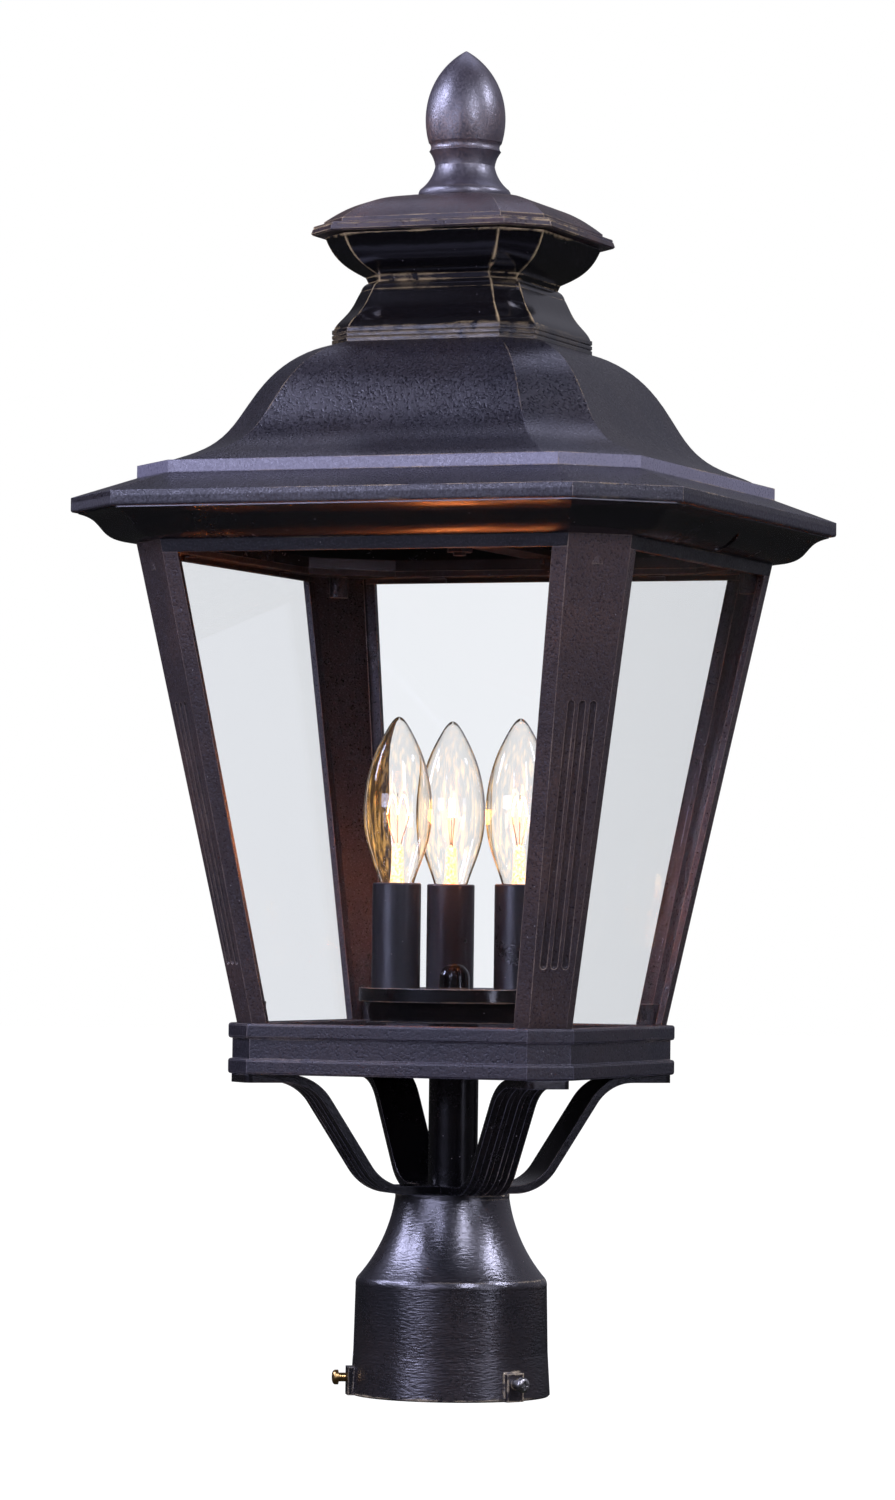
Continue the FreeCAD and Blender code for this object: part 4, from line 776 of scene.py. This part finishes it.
post_paint = painted("post_paint", (0.0290, 0.0205, 0.0210), (0.085, 0.046, 0.034), brown_share=0.60,
                     rub=(0.34, 0.26, 0.21), rub_share=0.8, rub_width=0.0006, roughness=0.38, grain=1.0,
                     easing=0.0006, edge=(0.22, 0.165, 0.14), edge_share=0.8,
                     sheen=(0.95, 0.90, 0.98), black_inside=True, painted_groove_shade=True)
crown_paint = painted("crown_paint", deep_black, warm_brown, brown_share=0.05, rub=gold, rub_share=1.0,
                      rub_width=0.0018, rub_sharp=0.975, roughness=0.14, grain=0.15, peel=0.12,
                      easing=0.0008, coat=0.3, edge_share=0.25, rubbed_band=crown_band)
lid_paint = painted("lid_paint", (0.024, 0.0150, 0.0165), (0.110, 0.052, 0.038), brown_share=0.9,
                    rub=gold, rub_share=0.8, roughness=0.33, grain=0.55, easing=0.0008, level=0.7,
                    edge_share=0.6)
finial_paint = painted("finial_paint", (0.030, 0.026, 0.036), (0.15, 0.080, 0.055), brown_share=0.9,
                       rub=gold, rub_share=0.9, rub_width=0.0008, rub_sharp=0.94, roughness=0.40,
                       grain=0.5, peel=0.03, easing=0.0006, level=1.0, bend=1.8,
                       brown_band=finial_foot_band)
fitter_paint = painted("fitter_paint", (0.0045, 0.0042, 0.0055), warm_brown, brown_share=0.30,
                       rub=(0.85, 0.70, 0.48), rub_share=1.0, rub_width=0.0012, rub_sharp=0.985,
                       roughness=0.28, grain=0.15, peel=0.30, easing=0.0009, level=1.0, drawn=4.0,
                       bend=1.75)
arm_paint = painted("arm_paint", deep_black, warm_brown, brown_share=0.15, rub=(0.45, 0.36, 0.30),
                    rub_share=0.8, roughness=0.24, grain=0.2, easing=0.0008, coat=0.3, edge_share=0.6)
sleeve_paint = painted("sleeve_paint", (0.0055, 0.0050, 0.0060), warm_brown, brown_share=0.08,
                       rub=gold, rub_share=0.0, roughness=0.30, grain=0.1, peel=0.02, easing=0.0004,
                       level=0.9)
pan_paint = painted("pan_paint", deep_black, warm_brown, brown_share=0.15, rub=(0.70, 0.42, 0.28),
                    rub_share=0.8, rub_width=0.0006, rub_sharp=0.94, roughness=0.16, grain=0.06,
                    peel=0.04, easing=0.0006, coat=0.5, edge=(0.35, 0.33, 0.36), edge_share=0.8)
inner_black = painted("inner_black", deep_black, warm_brown, brown_share=0.1, rub=gold, rub_share=0.0,
                      roughness=0.5, grain=0.1, easing=0.0005)
phenolic = painted("phenolic_moulding", (0.02, 0.015, 0.012), (0.03, 0.02, 0.015), brown_share=0.3,
                   rub=gold, rub_share=0.0, roughness=0.5)
zinc = plain_metal("zinc_plate", (0.62, 0.61, 0.60), (0.42, 0.42, 0.43), roughness=0.3)
brass_metal = plain_metal("brass_shell", (0.78, 0.52, 0.22), (0.55, 0.34, 0.13), roughness=0.28)
lead_metal = plain_metal("lead_wire", (0.45, 0.42, 0.38), (0.3, 0.28, 0.26), roughness=0.35)
pane_material = clear_glass("pane_clear", (0.975, 0.98, 1.0), (0.96, 0.965, 0.985), haze=0.004,
                            wave=0.004, shadow=(0.94, 0.95, 0.95), bend=1.32,
                            absorb=(0.55, 0.86, 0.88))[0]
filament_hot = glowing("filament_hot", (1.0, 0.80, 0.38), (1.0, 0.60, 0.20), strength=9.0, scale=3000.0)
# painted glow: the glass stem is no lamp; its emission stands in for the filament's light in it
stem_painted_glow = glowing("stem_painted_glow", (1.0, 0.88, 0.60), (0.70, 0.38, 0.11), strength=0.9, scale=900.0)

finishes = {
    "roof": housing_paint, "cornice": cove_paint, "top_rail": rail_paint, "base_pan": base_paint,
    "crown_neck": crown_paint, "crown_bowl": crown_paint, "crown_lid": lid_paint, "finial": finial_paint,
    "fitter": fitter_paint, "stem_pipe": arm_paint, "candle_pan": pan_paint, "pan_cover": pan_paint,
    "cap_nut": pan_paint, "bridge_bar": inner_black, "rod_nuts": inner_black, "roof_rod": inner_black,
    "glass_clips": inner_black, "cornice_screws": inner_black, "bar_screws": inner_black,
    "set_screw_2": brass_metal,
}
kinds = {"scroll_arm": arm_paint, "corner_post": post_paint, "candle_sleeve": sleeve_paint,
         "lamp_holder": phenolic, "bulb_base": brass_metal, "glass_pane": pane_material}


def dress_nodes():
    """Each CAD node's finish by its name, or by its kind, and zinc for the screws and nuts."""
    for name, node in nodes.items():
        material = finishes.get(name) or kinds.get(name.rsplit("_", 1)[0]) or zinc
        node.data.materials.clear()
        node.data.materials.append(material)


bpy.context.scene.view_settings.view_transform = "Standard"
add_camera()
add_lamps()
add_world()
add_floor()
dress_nodes()
make_candle_pan()
for bulb_number in range(1, len(bulb_centres) + 1):
    make_bulb(bulb_number)
